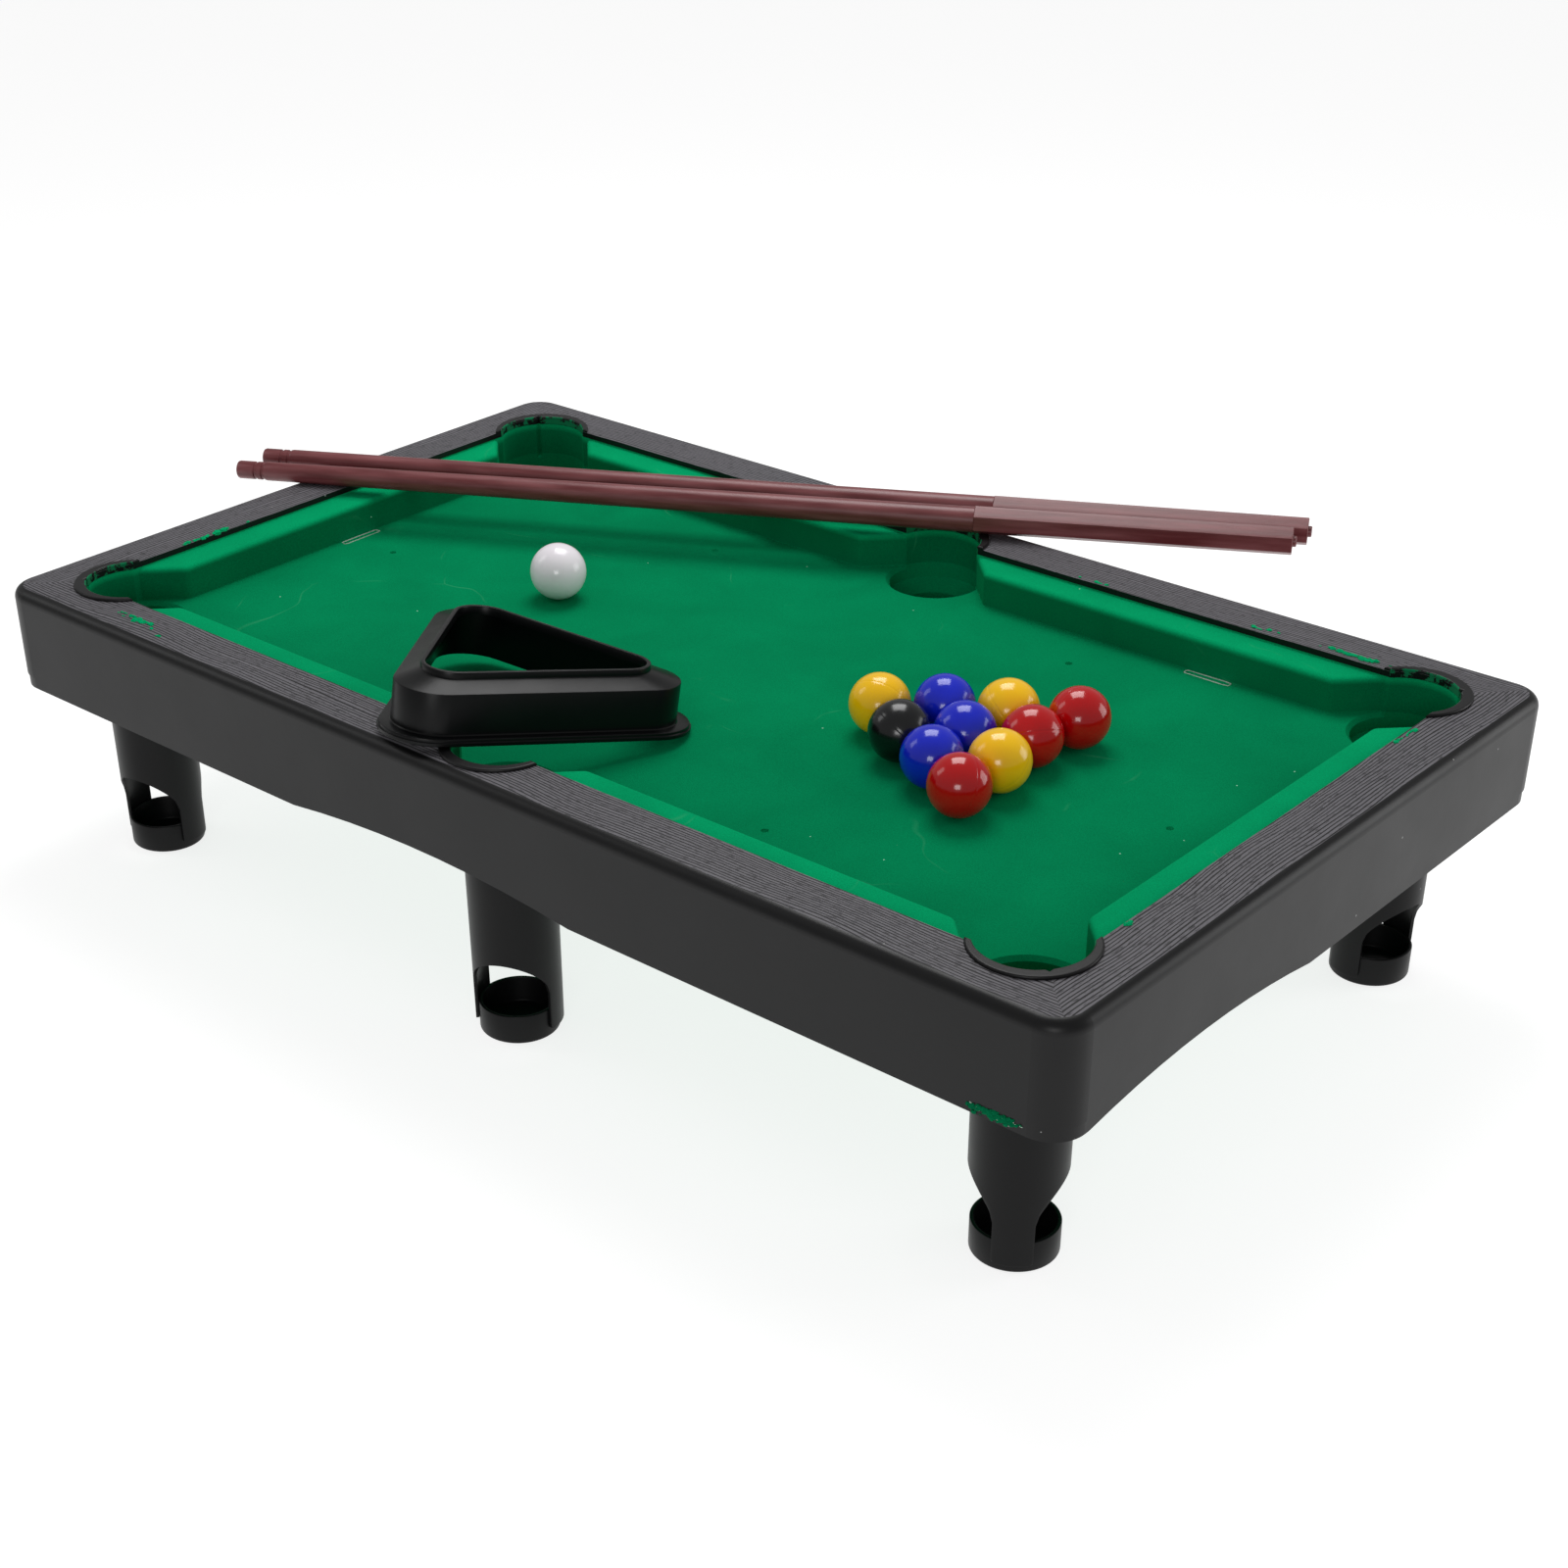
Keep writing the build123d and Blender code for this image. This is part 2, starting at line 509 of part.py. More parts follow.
def rack():
    """The hollow rack: stepped flange, upright wall, sloping shoulder and thin lip."""
    step, flange = RACK_FLANGE_HEIGHTS
    solid = slab(rounded_triangle(RACK_FLANGE), 0, step)
    solid += slab(rounded_triangle(RACK_FLANGE, -RACK_STEP_WIDTH), step, flange)
    solid += slab(rounded_triangle(RACK_BODY), flange, RACK_SHOULDER_HEIGHT)
    foot, top = Pos(0, 0, RACK_SHOULDER_HEIGHT), Pos(0, 0, RACK_LIP_FOOT)
    solid += loft([foot * rounded_triangle(RACK_BODY), top * rounded_triangle(RACK_LIP)])
    solid += slab(rounded_triangle(RACK_LIP), RACK_LIP_FOOT, RACK_HEIGHT)
    body_inside = rounded_triangle(RACK_BODY, -RACK_WALL)
    lip_inside = rounded_triangle(RACK_LIP, -RACK_WALL)
    solid -= slab(body_inside, -CUT, RACK_SHOULDER_HEIGHT - RACK_WALL / 2)
    below = Pos(0, 0, -RACK_WALL / 2)
    solid -= loft([below * foot * body_inside, below * top * lip_inside])
    solid -= slab(lip_inside, RACK_LIP_FOOT - RACK_WALL / 2, RACK_HEIGHT + CUT)
    return solid


def rack_far_reach():
    """From the rack's centre to its lowest flange corner, square to the line it tips about."""
    side, corner = RACK_FLANGE
    across = RACK_TIP_DIRECTION + 90
    reaches = [cos(radians(RACK_TURN + a - across)) for a in (90, 210, 330)]
    return 2 * (side - corner) * max(reaches) + corner


def tip_angle(rise, far, near):
    """The angle at which a plate resting a reach below its centre climbs by a height."""
    angle = 0.0
    for _ in range(20):
        angle = asin(rise / (far + near / cos(angle)))
    return angle


def laid_rack():
    """The rack tipped over the front rail: far corner on the bed, near side on rail and collar."""
    centre = (RACK_CENTRE_X, -RAIL_INNER_Y + RACK_FROM_RAIL)
    collar_x, collar_y = RACK_COLLAR_CONTACT
    contacts = [(RACK_EDGE_CONTACT_X, -RAIL_INNER_Y, RAIL_TOP)]
    contacts.append((collar_x, -MIDDLE_Y + collar_y, COLLAR_TOP))
    direction = radians(RACK_TIP_DIRECTION)
    bed = BED_TOP + REST_GAP
    far = rack_far_reach()
    tips = []
    for x, y, height in contacts:
        near = (x - centre[0]) * sin(direction) - (y - centre[1]) * cos(direction)
        rise = height + REST_GAP - bed
        tips.append(tip_angle(rise, far, near))
    tip = max(tips)
    level = Axis((0, 0, 0), (cos(direction), sin(direction), 0))
    tipped = (Rot(0, 0, RACK_TURN) * rack()).rotate(level, -degrees(tip))
    return Pos(*centre, bed + far * sin(tip)) * tipped


def parts():
    """Every piece of the table, by the name of its node."""
    pieces = {"rail_frame": rail_frame(), "bed_tray": bed_tray()}
    for name, solid in cushions(cushion).items():
        pieces[f"cushion_{name}"] = solid
    pieces["tray_screws"] = Compound(children=[tray_screw(place) for place in SCREW_PLACES])
    for name, place in POCKETS.items():
        pieces[f"leg_{name}"] = leg(place, STRUT_TURN[name])
        pieces[f"cup_{name}"] = cup(place)
    pieces["ball_cue"] = ball(CUE_BALL_PLACE)
    for name, row, place, rolled in RACKED_BALLS:
        pieces[f"ball_{name}"] = ball(racked_place(row, place, rolled))
    pieces["cue_front"] = laid_cue(*FRONT_CUE, COLLAR_TOP)
    pieces["cue_rear"] = laid_cue(*REAR_CUE, RAIL_TOP)
    pieces["rack"] = laid_rack()
    return pieces


os.makedirs("parts", exist_ok=True)
for node, shape in parts().items():
    export_step(shape, f"parts/{node}.step")
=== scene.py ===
import logging
import math
import random
from collections.abc import Callable, Sequence
from dataclasses import dataclass, field
from enum import Enum

import bpy
from mathutils import Matrix, Vector
from mathutils.kdtree import KDTree


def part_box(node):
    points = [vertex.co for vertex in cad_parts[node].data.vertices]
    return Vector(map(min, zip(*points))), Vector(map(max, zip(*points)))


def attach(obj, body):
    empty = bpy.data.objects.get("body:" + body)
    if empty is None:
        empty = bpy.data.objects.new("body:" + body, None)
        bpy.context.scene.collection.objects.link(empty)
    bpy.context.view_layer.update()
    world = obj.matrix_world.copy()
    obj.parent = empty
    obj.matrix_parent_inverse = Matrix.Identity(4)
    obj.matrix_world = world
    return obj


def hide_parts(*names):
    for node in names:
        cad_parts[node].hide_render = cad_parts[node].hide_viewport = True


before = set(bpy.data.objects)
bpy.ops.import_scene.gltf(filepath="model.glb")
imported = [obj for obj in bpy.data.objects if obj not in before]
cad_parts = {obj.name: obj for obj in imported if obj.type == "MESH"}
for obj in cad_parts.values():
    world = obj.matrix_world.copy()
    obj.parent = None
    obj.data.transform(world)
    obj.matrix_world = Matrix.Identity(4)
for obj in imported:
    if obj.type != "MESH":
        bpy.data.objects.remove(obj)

# Looks of a tabletop pool table with its balls, cues and rack. Metres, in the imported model's frame:
# +Z up, +X along the length, +Y away from the front long side, origin on the floor.

MM = 0.001
LOG = logging.getLogger("pool_table")
Point = tuple[float, float, float]
Ring = list[Point]


class Side(Enum):
    """Which way a skin of rings is closed at its ends."""

    OPEN = "open"
    CAPPED = "capped"
    JOINED = "joined"


# ---- Colour and nodes ----
def linear(code: str) -> tuple[float, float, float, float]:
    """Turns an sRGB colour into a linear one.

    Args:
        code: Six hex digits after a hash sign.

    Returns:
        Linear red, green, blue and an alpha of 1.
    """
    parts = [int(code[i:i + 2], 16) / 255 for i in (1, 3, 5)]
    curve = [c / 12.92 if c <= 0.04045 else ((c + 0.055) / 1.055) ** 2.4 for c in parts]
    return curve[0], curve[1], curve[2], 1.0


def add(tree: bpy.types.NodeTree, kind: str, settings: dict | None = None,
        links: dict | None = None) -> bpy.types.Node:
    """Adds one node with its settings and links.

    Args:
        tree: The node tree that takes it.
        kind: The node's type, without its ShaderNode prefix.
        settings: Attributes by lower-case name, and socket values by socket name or number.
        links: Nodes or output sockets, by the input's name or number.

    Returns:
        The new node.
    """
    node = tree.nodes.new("ShaderNode" + kind)
    for key, value in (settings or {}).items():
        if isinstance(key, str) and key[0].islower():
            setattr(node, key, value)
        else:
            node.inputs[key].default_value = value
    for key, source in (links or {}).items():
        socket = source.outputs[0] if isinstance(source, bpy.types.Node) else source
        tree.links.new(socket, node.inputs[key])
    return node


@dataclass(frozen=True)
class Finish:
    """A finish: what the surface is made of and how it was made."""

    name: str
    colour: str
    roughness: float
    ior: float = 1.49

    def start(self) -> tuple[bpy.types.NodeTree, bpy.types.Node, bpy.types.Node]:
        """Makes the material, its shader and the coordinates that its patterns read.

        Returns:
            The tree, the shader node and the texture coordinate node.
        """
        material = bpy.data.materials.new(self.name)
        material.use_nodes = True
        tree = material.node_tree
        tree.nodes.clear()
        shader = add(tree, "BsdfPrincipled", {"Base Color": linear(self.colour), "Roughness": self.roughness,
                                              "IOR": self.ior})
        add(tree, "OutputMaterial", links={"Surface": shader})
        return tree, shader, add(tree, "TexCoord")

    def build(self) -> bpy.types.Material:
        """Builds the material once and hands it out again after that."""
        if self.name not in bpy.data.materials:
            self.surface()
        return bpy.data.materials[self.name]

    def surface(self) -> None:
        """Lays down the colour and relief of the finish."""
        self.start()


@dataclass(frozen=True)
class SatinPolystyrene(Finish):
    """Black high-impact polystyrene from a lightly textured mould: satin, with faint handling marks."""

    scuff: str = "#5c5c5e"
    shine: float = 0.19
    waviness: float = 22 * MM
    speck_spacing: float = 11 * MM
    speck: float = 0.035
    speck_share: float = 0.22
    mould_skin: float = 0.35 * MM

    def surface(self) -> None:
        """Flow waves, uneven gloss, small dents and a few pale scuffs."""
        tree, shader, place = self.start()
        where = place.outputs["Object"]
        gloss = add(tree, "TexNoise", {"Scale": 1 / self.waviness, "Detail": 5.0}, {"Vector": where})
        rough = add(tree, "MapRange", {"To Min": self.roughness - 0.07, "To Max": self.roughness + 0.1},
                    {"Value": gloss})
        tree.links.new(rough.outputs[0], shader.inputs["Roughness"])
        # Grains of the spark-eroded mould skin.
        skin = add(tree, "TexNoise", {"Scale": 1 / self.mould_skin, "Detail": 2.0}, {"Vector": where})
        cells = add(tree, "TexVoronoi", {"Scale": 1 / self.speck_spacing, "Randomness": 1.0},
                    {"Vector": where})
        dot = add(tree, "Math", {"operation": "LESS_THAN", 1: self.speck}, {0: cells.outputs["Distance"]})
        chosen = add(tree, "SeparateColor", links={"Color": cells.outputs["Color"]})
        rare = add(tree, "Math", {"operation": "LESS_THAN", 1: self.speck_share}, {0: chosen})
        marks = add(tree, "Math", {"operation": "MULTIPLY"}, {0: dot, 1: rare})
        colour = add(tree, "Mix", {"data_type": "RGBA", 6: linear(self.colour), 7: linear(self.scuff)},
                     {0: marks})
        tree.links.new(colour.outputs[2], shader.inputs["Base Color"])
        fine = add(tree, "Bump", {"Strength": 0.25, "Distance": 0.03 * MM}, {"Height": skin})
        waves = add(tree, "Bump", {"Strength": 0.5, "Distance": 0.25 * MM},
                    {"Height": gloss, "Normal": fine})
        tree.links.new(waves.outputs[0], shader.inputs["Normal"])
        shader.inputs["Specular IOR Level"].default_value = self.shine


@dataclass(frozen=True)
class GrainedPolystyrene(Finish):
    """Black polystyrene rails from a mould engraved with wood grain, mitred at the corners.

    The flat rail tops carry the grain, the skirt is smooth, and flock has drifted on to the inner edges.
    """

    # Painted sheen: the grain's ridges are painted grey for the light that the black plastic reflects.
    ridge_sheen: str = "#68666b"
    valley: str = "#0b0b0c"
    flock: str = "#03744a"
    shine: float = 0.26
    half_length: float = 255 * MM
    half_width: float = 150 * MM
    edge: float = 4.5 * MM
    rail: float = 23.2 * MM
    top: float = 113.6 * MM
    pocket: float = 18.3 * MM
    corner: tuple[float, float] = (217 * MM, 114.3 * MM)
    middle: float = 122.5 * MM
    grain_pitch: float = 1.4 * MM
    grain_run: float = 60 * MM
    figure: float = 34 * MM
    pore: float = 0.7 * MM
    grain_roughness: float = 0.52
    flock_roughness: float = 0.95
    chip_spacing: float = 17 * MM
    chip: float = 0.022
    chip_colour: str = "#8d8d8c"

    def surface(self) -> None:
        """Grain with painted sheen on its ridges over the rail tops, waves on the skirt, stray flock on
        inner edges.
        """
        tree, shader, place = self.start()
        where = place.outputs["Object"]
        axis = add(tree, "SeparateXYZ", links={0: where})
        away = add(tree, "VectorMath", {"operation": "ABSOLUTE"}, {0: where})
        side = add(tree, "SeparateXYZ", links={0: away})
        from_end = add(tree, "Math", {"operation": "SUBTRACT", 0: self.half_length}, {1: side.outputs[0]})
        from_side = add(tree, "Math", {"operation": "SUBTRACT", 0: self.half_width}, {1: side.outputs[1]})
        across = add(tree, "Math", {"operation": "MINIMUM"}, {0: from_end, 1: from_side})
        long_side = add(tree, "Math", {"operation": "LESS_THAN"}, {0: from_side, 1: from_end})
        along = add(tree, "Mix", {"data_type": "FLOAT"},
                    {0: long_side, 2: axis.outputs[1], 3: axis.outputs[0]})
        other = add(tree, "Mix", {"data_type": "FLOAT"},
                    {0: long_side, 2: axis.outputs[0], 3: axis.outputs[1]})
        rail_seed = add(tree, "Math", {"operation": "SIGN"}, {0: other})
        rail_seed = add(tree, "Math", {"operation": "MULTIPLY_ADD", 1: 0.4}, {0: rail_seed, 2: long_side})
        slow = add(tree, "Math", {"operation": "MULTIPLY", 1: self.grain_pitch / self.grain_run}, {0: along})
        # Low figure that bends the lines as round a knot.
        coarse_run = add(tree, "Math", {"operation": "MULTIPLY", 1: 0.45}, {0: along})
        spot = add(tree, "CombineXYZ", links={0: coarse_run, 1: across, 2: rail_seed})
        figure = add(tree, "TexNoise", {"Scale": 1 / self.figure, "Detail": 1.5}, {"Vector": spot})
        bend = add(tree, "Math", {"operation": "MULTIPLY_ADD", 1: 9 * MM}, {0: figure, 2: across})
        line_spot = add(tree, "CombineXYZ", links={0: bend, 1: slow, 2: rail_seed})
        # A sine band repeats every pi / 10 of its own scale.
        lines = add(tree, "TexWave", {"Scale": math.pi / (10 * self.grain_pitch), "Distortion": 7.0,
                                      "Detail": 3.0, "Detail Scale": 0.55, "Detail Roughness": 0.6},
                    {"Vector": line_spot})
        pore_run = add(tree, "Math", {"operation": "MULTIPLY", 1: 0.2}, {0: along})
        pore_spot = add(tree, "CombineXYZ", links={0: bend, 1: pore_run, 2: rail_seed})
        pores = add(tree, "TexNoise", {"Scale": 1 / self.pore, "Detail": 2.0}, {"Vector": pore_spot})
        crisp = add(tree, "MapRange", {"From Min": 0.06, "From Max": 0.36}, {"Value": lines.outputs["Fac"]})
        open_pores = add(tree, "MapRange", {"From Min": 0.3, "From Max": 0.44, "To Min": 0.35},
                         {"Value": pores})
        relief = add(tree, "Math", {"operation": "MULTIPLY"}, {0: crisp, 1: open_pores})

        inside_edge = add(tree, "MapRange", {"From Min": self.edge * 0.55, "From Max": self.edge * 0.9},
                          {"Value": across})
        flat = add(tree, "Math", {"operation": "COMPARE", 1: self.top, 2: 0.06 * MM}, {0: axis.outputs[2]})
        grained = add(tree, "Math", {"operation": "MULTIPLY"}, {0: inside_edge, 1: flat})
        # Painted sheen: ridges painted grey for reflected light, valleys near black.
        grain_and_sheen = add(tree, "Mix", {"data_type": "RGBA", 6: linear(self.valley), 7: linear(self.ridge_sheen)},
                   {0: relief})
        plain = add(tree, "Mix", {"data_type": "RGBA", 6: linear(self.colour)},
                    {0: grained, 7: grain_and_sheen.outputs[2]})

        stray = self.stray_flock(tree, where, side)
        painted = add(tree, "Mix", {"data_type": "RGBA", 7: linear(self.flock)},
                      {0: stray, 6: plain.outputs[2]})
        cells = add(tree, "TexVoronoi", {"Scale": 1 / self.chip_spacing}, {"Vector": where})
        dot = add(tree, "Math", {"operation": "LESS_THAN", 1: self.chip}, {0: cells.outputs["Distance"]})
        chips = add(tree, "Mix", {"data_type": "RGBA", 7: linear(self.chip_colour)},
                    {0: dot, 6: painted.outputs[2]})
        tree.links.new(chips.outputs[2], shader.inputs["Base Color"])

        gloss = add(tree, "TexNoise", {"Scale": 1 / (30 * MM), "Detail": 4.0}, {"Vector": where})
        smooth = add(tree, "MapRange", {"To Min": self.roughness - 0.06, "To Max": self.roughness + 0.08},
                     {"Value": gloss})
        rough = add(tree, "Mix", {"data_type": "FLOAT", 3: self.grain_roughness}, {0: grained, 2: smooth})
        matt = add(tree, "Mix", {"data_type": "FLOAT", 3: self.flock_roughness},
                   {0: stray, 2: rough.outputs[0]})
        tree.links.new(matt.outputs[0], shader.inputs["Roughness"])
        skin = add(tree, "TexNoise", {"Scale": 1 / (0.5 * MM), "Detail": 2.0}, {"Vector": where})
        fine = add(tree, "Bump", {"Strength": 0.2, "Distance": 0.03 * MM}, {"Height": skin})
        waves = add(tree, "Bump", {"Strength": 0.4, "Distance": 0.3 * MM}, {"Height": gloss, "Normal": fine})
        height = add(tree, "Math", {"operation": "MULTIPLY"}, {0: relief, 1: grained})
        grain = add(tree, "Bump", {"Strength": 0.9, "Distance": 0.2 * MM},
                    {"Height": height, "Normal": waves})
        tree.links.new(grain.outputs[0], shader.inputs["Normal"])
        shader.inputs["Specular IOR Level"].default_value = self.shine

    def stray_flock(self, tree: bpy.types.NodeTree, where: bpy.types.NodeSocket,
                    side: bpy.types.Node) -> bpy.types.Node:
        """Where flock has settled on the rail's inner edge and in the pocket throats.

        Args:
            tree: The material's tree.
            where: The position socket.
            side: Node with the distances from the middle planes.

        Returns:
            A node whose value is 1 on stray flock.
        """
        reach = 0.35 * MM
        in_x = add(tree, "Math", {"operation": "LESS_THAN", 1: self.half_length - self.rail + reach},
                   {0: side.outputs[0]})
        in_y = add(tree, "Math", {"operation": "LESS_THAN", 1: self.half_width - self.rail + reach},
                   {0: side.outputs[1]})
        straight = add(tree, "Math", {"operation": "MULTIPLY", 1: 0.12}, {0: in_x})
        share = add(tree, "Math", {"operation": "MULTIPLY"}, {0: straight, 1: in_y})
        flat_place = add(tree, "CombineXYZ", links={0: side.outputs[0], 1: side.outputs[1]})
        for centre in ((*self.corner, 0.0), (0.0, self.middle, 0.0)):
            gap = add(tree, "VectorMath", {"operation": "DISTANCE", 1: centre}, {0: flat_place})
            near = add(tree, "Math", {"operation": "LESS_THAN", 1: self.pocket + reach},
                       {0: gap.outputs["Value"]})
            mostly = add(tree, "Math", {"operation": "MULTIPLY", 1: 0.62}, {0: near})
            share = add(tree, "Math", {"operation": "MAXIMUM"}, {0: share, 1: mostly})
        patchy = add(tree, "TexNoise", {"Scale": 1 / (6 * MM), "Detail": 5.0, "Roughness": 0.7},
                     {"Vector": where})
        # Noise sits between a quarter and three quarters, so a share of 0 leaves nothing covered.
        limit = add(tree, "MapRange", {"To Min": 0.8, "To Max": 0.3}, {"Value": share})
        over = add(tree, "Math", {"operation": "SUBTRACT"}, {0: patchy, 1: limit})
        cover = add(tree, "MapRange", {"From Min": 0.0, "From Max": 0.03}, {"Value": over})
        inside = add(tree, "Math", {"operation": "GREATER_THAN", 1: 0.01}, {0: share})
        return add(tree, "Math", {"operation": "MULTIPLY"}, {0: inside, 1: cover})


@dataclass(frozen=True)
class NylonFlock(Finish):
    """Short green nylon fibres blown on to a glued moulding: matt, with a soft bloom at grazing light."""

    fibre: float = 0.45 * MM
    nap: float = 40 * MM
    lint_spacing: float = 15 * MM
    bed_top: float = 97.1 * MM
    cushion_top: float = 110.8 * MM
    # How much darker the bed's flock is than the cushion tops.
    bed_tone: float = 0.68
    # Painted shade: how dark the cushions' upright faces are painted.
    painted_upright_shade: float = 0.5
    lint: float = 0.022
    lint_colour: str = "#9fd8bd"
    rub_spacing: float = 70 * MM
    rub_colour: str = "#4fae7f"

    def surface(self) -> None:
        """Nap shades, fibre speckle, a few threads of lint, rubbed lines, a darker bed and painted shade on
        upright faces.
        """
        tree, shader, place = self.start()
        where = place.outputs["Object"]
        nap = add(tree, "TexNoise", {"Scale": 1 / self.nap, "Detail": 4.0, "Distortion": 0.4},
                  {"Vector": where})
        speckle = add(tree, "TexNoise", {"Scale": 1 / self.fibre, "Detail": 2.0}, {"Vector": where})
        shade = add(tree, "MapRange", {"From Min": 0.3, "From Max": 0.7, "To Min": 0.9, "To Max": 1.08},
                    {"Value": nap})
        grain = add(tree, "MapRange", {"From Min": 0.3, "From Max": 0.7, "To Min": 0.86, "To Max": 1.14},
                    {"Value": speckle})
        level = add(tree, "Math", {"operation": "MULTIPLY"}, {0: shade, 1: grain})
        height = add(tree, "SeparateXYZ", links={0: where})
        # Painted shade: the upright faces between bed and cushion tops are painted darker than the tops.
        painted_face_shade = add(tree, "MapRange",
                    {"From Min": self.cushion_top - 2.6 * MM, "From Max": self.cushion_top - 0.5 * MM,
                     "To Min": self.painted_upright_shade}, {"Value": height.outputs[2]})
        # The bed's flock is darker than the cushions'.
        off_bed = add(tree, "MapRange",
                      {"From Min": self.bed_top + 0.15 * MM, "From Max": self.bed_top + 0.6 * MM},
                      {"Value": height.outputs[2]})
        face_shade_and_bed_tone = add(tree, "Mix", {"data_type": "FLOAT", 2: self.bed_tone}, {0: off_bed, 3: painted_face_shade})
        level = add(tree, "Math", {"operation": "MULTIPLY"}, {0: level, 1: face_shade_and_bed_tone})
        tinted = add(tree, "HueSaturation", {"Color": linear(self.colour)}, {"Value": level})
        cells = add(tree, "TexVoronoi", {"Scale": 1 / self.lint_spacing}, {"Vector": where})
        dot = add(tree, "Math", {"operation": "LESS_THAN", 1: self.lint}, {0: cells.outputs["Distance"]})
        lint = add(tree, "Mix", {"data_type": "RGBA", 7: linear(self.lint_colour)}, {0: dot, 6: tinted})
        # Rubbed lines that show only here and there.
        wander = add(tree, "TexNoise", {"Scale": 1 / (55 * MM), "Detail": 2.0}, {"Vector": where})
        bent = add(tree, "VectorMath", {"operation": "MULTIPLY_ADD", 1: (0.05, 0.05, 0.05)},
                   {0: wander.outputs["Color"], 2: where})
        cracks = add(tree, "TexVoronoi", {"Scale": 1 / self.rub_spacing, "feature": "DISTANCE_TO_EDGE"},
                     {"Vector": bent})
        thin = add(tree, "MapRange", {"From Min": 0.0, "From Max": 0.008, "To Min": 1.0, "To Max": 0.0},
                   {"Value": cracks.outputs["Distance"]})
        here = add(tree, "MapRange", {"From Min": 0.55, "From Max": 0.7, "To Max": 0.35}, {"Value": nap})
        line = add(tree, "Math", {"operation": "MULTIPLY"}, {0: thin, 1: here})
        rubbed = add(tree, "Mix", {"data_type": "RGBA", 7: linear(self.rub_colour)},
                     {0: line, 6: lint.outputs[2]})
        tree.links.new(rubbed.outputs[2], shader.inputs["Base Color"])
        bump = add(tree, "Bump", {"Strength": 0.55, "Distance": 0.18 * MM}, {"Height": speckle})
        tree.links.new(bump.outputs[0], shader.inputs["Normal"])
        shader.inputs["Specular IOR Level"].default_value = 0.02
        shader.inputs["Sheen Weight"].default_value = 0.12
        shader.inputs["Sheen Roughness"].default_value = 0.4
        shader.inputs["Sheen Tint"].default_value = linear("#00d680")


@dataclass(frozen=True)
class CastResin(Finish):
    """Polished polyester ball: deep gloss over a faintly cloudy body, with hairline handling marks."""

    cloud: str = "#ffffff"

    def surface(self) -> None:
        """Cloudy body colour, soft wear in the gloss and a clear outer skin."""
        tree, shader, place = self.start()
        where = place.outputs["Object"]
        body = add(tree, "TexNoise", {"Scale": 1 / (9 * MM), "Detail": 3.0}, {"Vector": where})
        mottle = add(tree, "MapRange", {"From Min": 0.35, "From Max": 0.75, "To Max": 0.35}, {"Value": body})
        colour = add(tree, "Mix", {"data_type": "RGBA", 6: linear(self.colour), 7: linear(self.cloud)},
                     {0: mottle})
        tree.links.new(colour.outputs[2], shader.inputs["Base Color"])
        wear = add(tree, "TexNoise", {"Scale": 1 / (2.5 * MM), "Detail": 4.0, "Distortion": 1.5},
                   {"Vector": where})
        rough = add(tree, "MapRange", {"To Min": self.roughness - 0.05, "To Max": self.roughness + 0.08},
                    {"Value": wear})
        tree.links.new(rough.outputs[0], shader.inputs["Roughness"])
        uneven = add(tree, "Bump", {"Strength": 0.25, "Distance": 0.05 * MM}, {"Height": body})
        tree.links.new(uneven.outputs[0], shader.inputs["Normal"])
        shader.inputs["Coat Weight"].default_value = 0.06
        shader.inputs["Coat Roughness"].default_value = 0.08


@dataclass(frozen=True)
class MouldedPolypropylene(Finish):
    """Reddish-brown polypropylene cue: semi-gloss, with flow streaks along its length."""

    streak: str = "#9a5b5e"
    heading: float = 28.5
    run: float = 30 * MM

    def surface(self) -> None:
        """Flow streaks in the colour and a slightly wavy surface."""
        tree, shader, place = self.start()
        turned = add(tree, "Mapping", {"vector_type": "TEXTURE",
                                       "Rotation": (0.0, 0.0, math.radians(self.heading)),
                                       "Scale": (self.run / (3 * MM), 1.0, 1.0)},
                     {"Vector": place.outputs["Object"]})
        flow = add(tree, "TexNoise", {"Scale": 1 / (3 * MM), "Detail": 4.0}, {"Vector": turned})
        share = add(tree, "MapRange", {"From Min": 0.35, "From Max": 0.75, "To Max": 0.6}, {"Value": flow})
        colour = add(tree, "Mix", {"data_type": "RGBA", 6: linear(self.colour), 7: linear(self.streak)},
                     {0: share})
        tree.links.new(colour.outputs[2], shader.inputs["Base Color"])
        rough = add(tree, "MapRange", {"To Min": self.roughness - 0.08, "To Max": self.roughness + 0.08},
                    {"Value": flow})
        tree.links.new(rough.outputs[0], shader.inputs["Roughness"])
        bump = add(tree, "Bump", {"Strength": 0.35, "Distance": 0.1 * MM}, {"Height": flow})
        tree.links.new(bump.outputs[0], shader.inputs["Normal"])


@dataclass(frozen=True)
class ZincPlate(Finish):
    """Zinc-plated steel screw: bright, a little blotchy."""

    def surface(self) -> None:
        """Blotches of brighter and duller plating."""
        tree, shader, place = self.start()
        blotch = add(tree, "TexNoise", {"Scale": 1 / (1.2 * MM), "Detail": 3.0},
                     {"Vector": place.outputs["Object"]})
        rough = add(tree, "MapRange", {"To Min": 0.2, "To Max": 0.5}, {"Value": blotch})
        tree.links.new(rough.outputs[0], shader.inputs["Roughness"])
        shader.inputs["Metallic"].default_value = 1.0


@dataclass(frozen=True)
class LightTable(Finish):
    """Opal white light table: it glows evenly, so shadows on it stay pale."""

    glow: float = 0.8

    def surface(self) -> None:
        """An even glow below a matt white skin."""
        _, shader, _ = self.start()
        shader.inputs["Emission Color"].default_value = linear("#ffffff")
        shader.inputs["Emission Strength"].default_value = self.glow


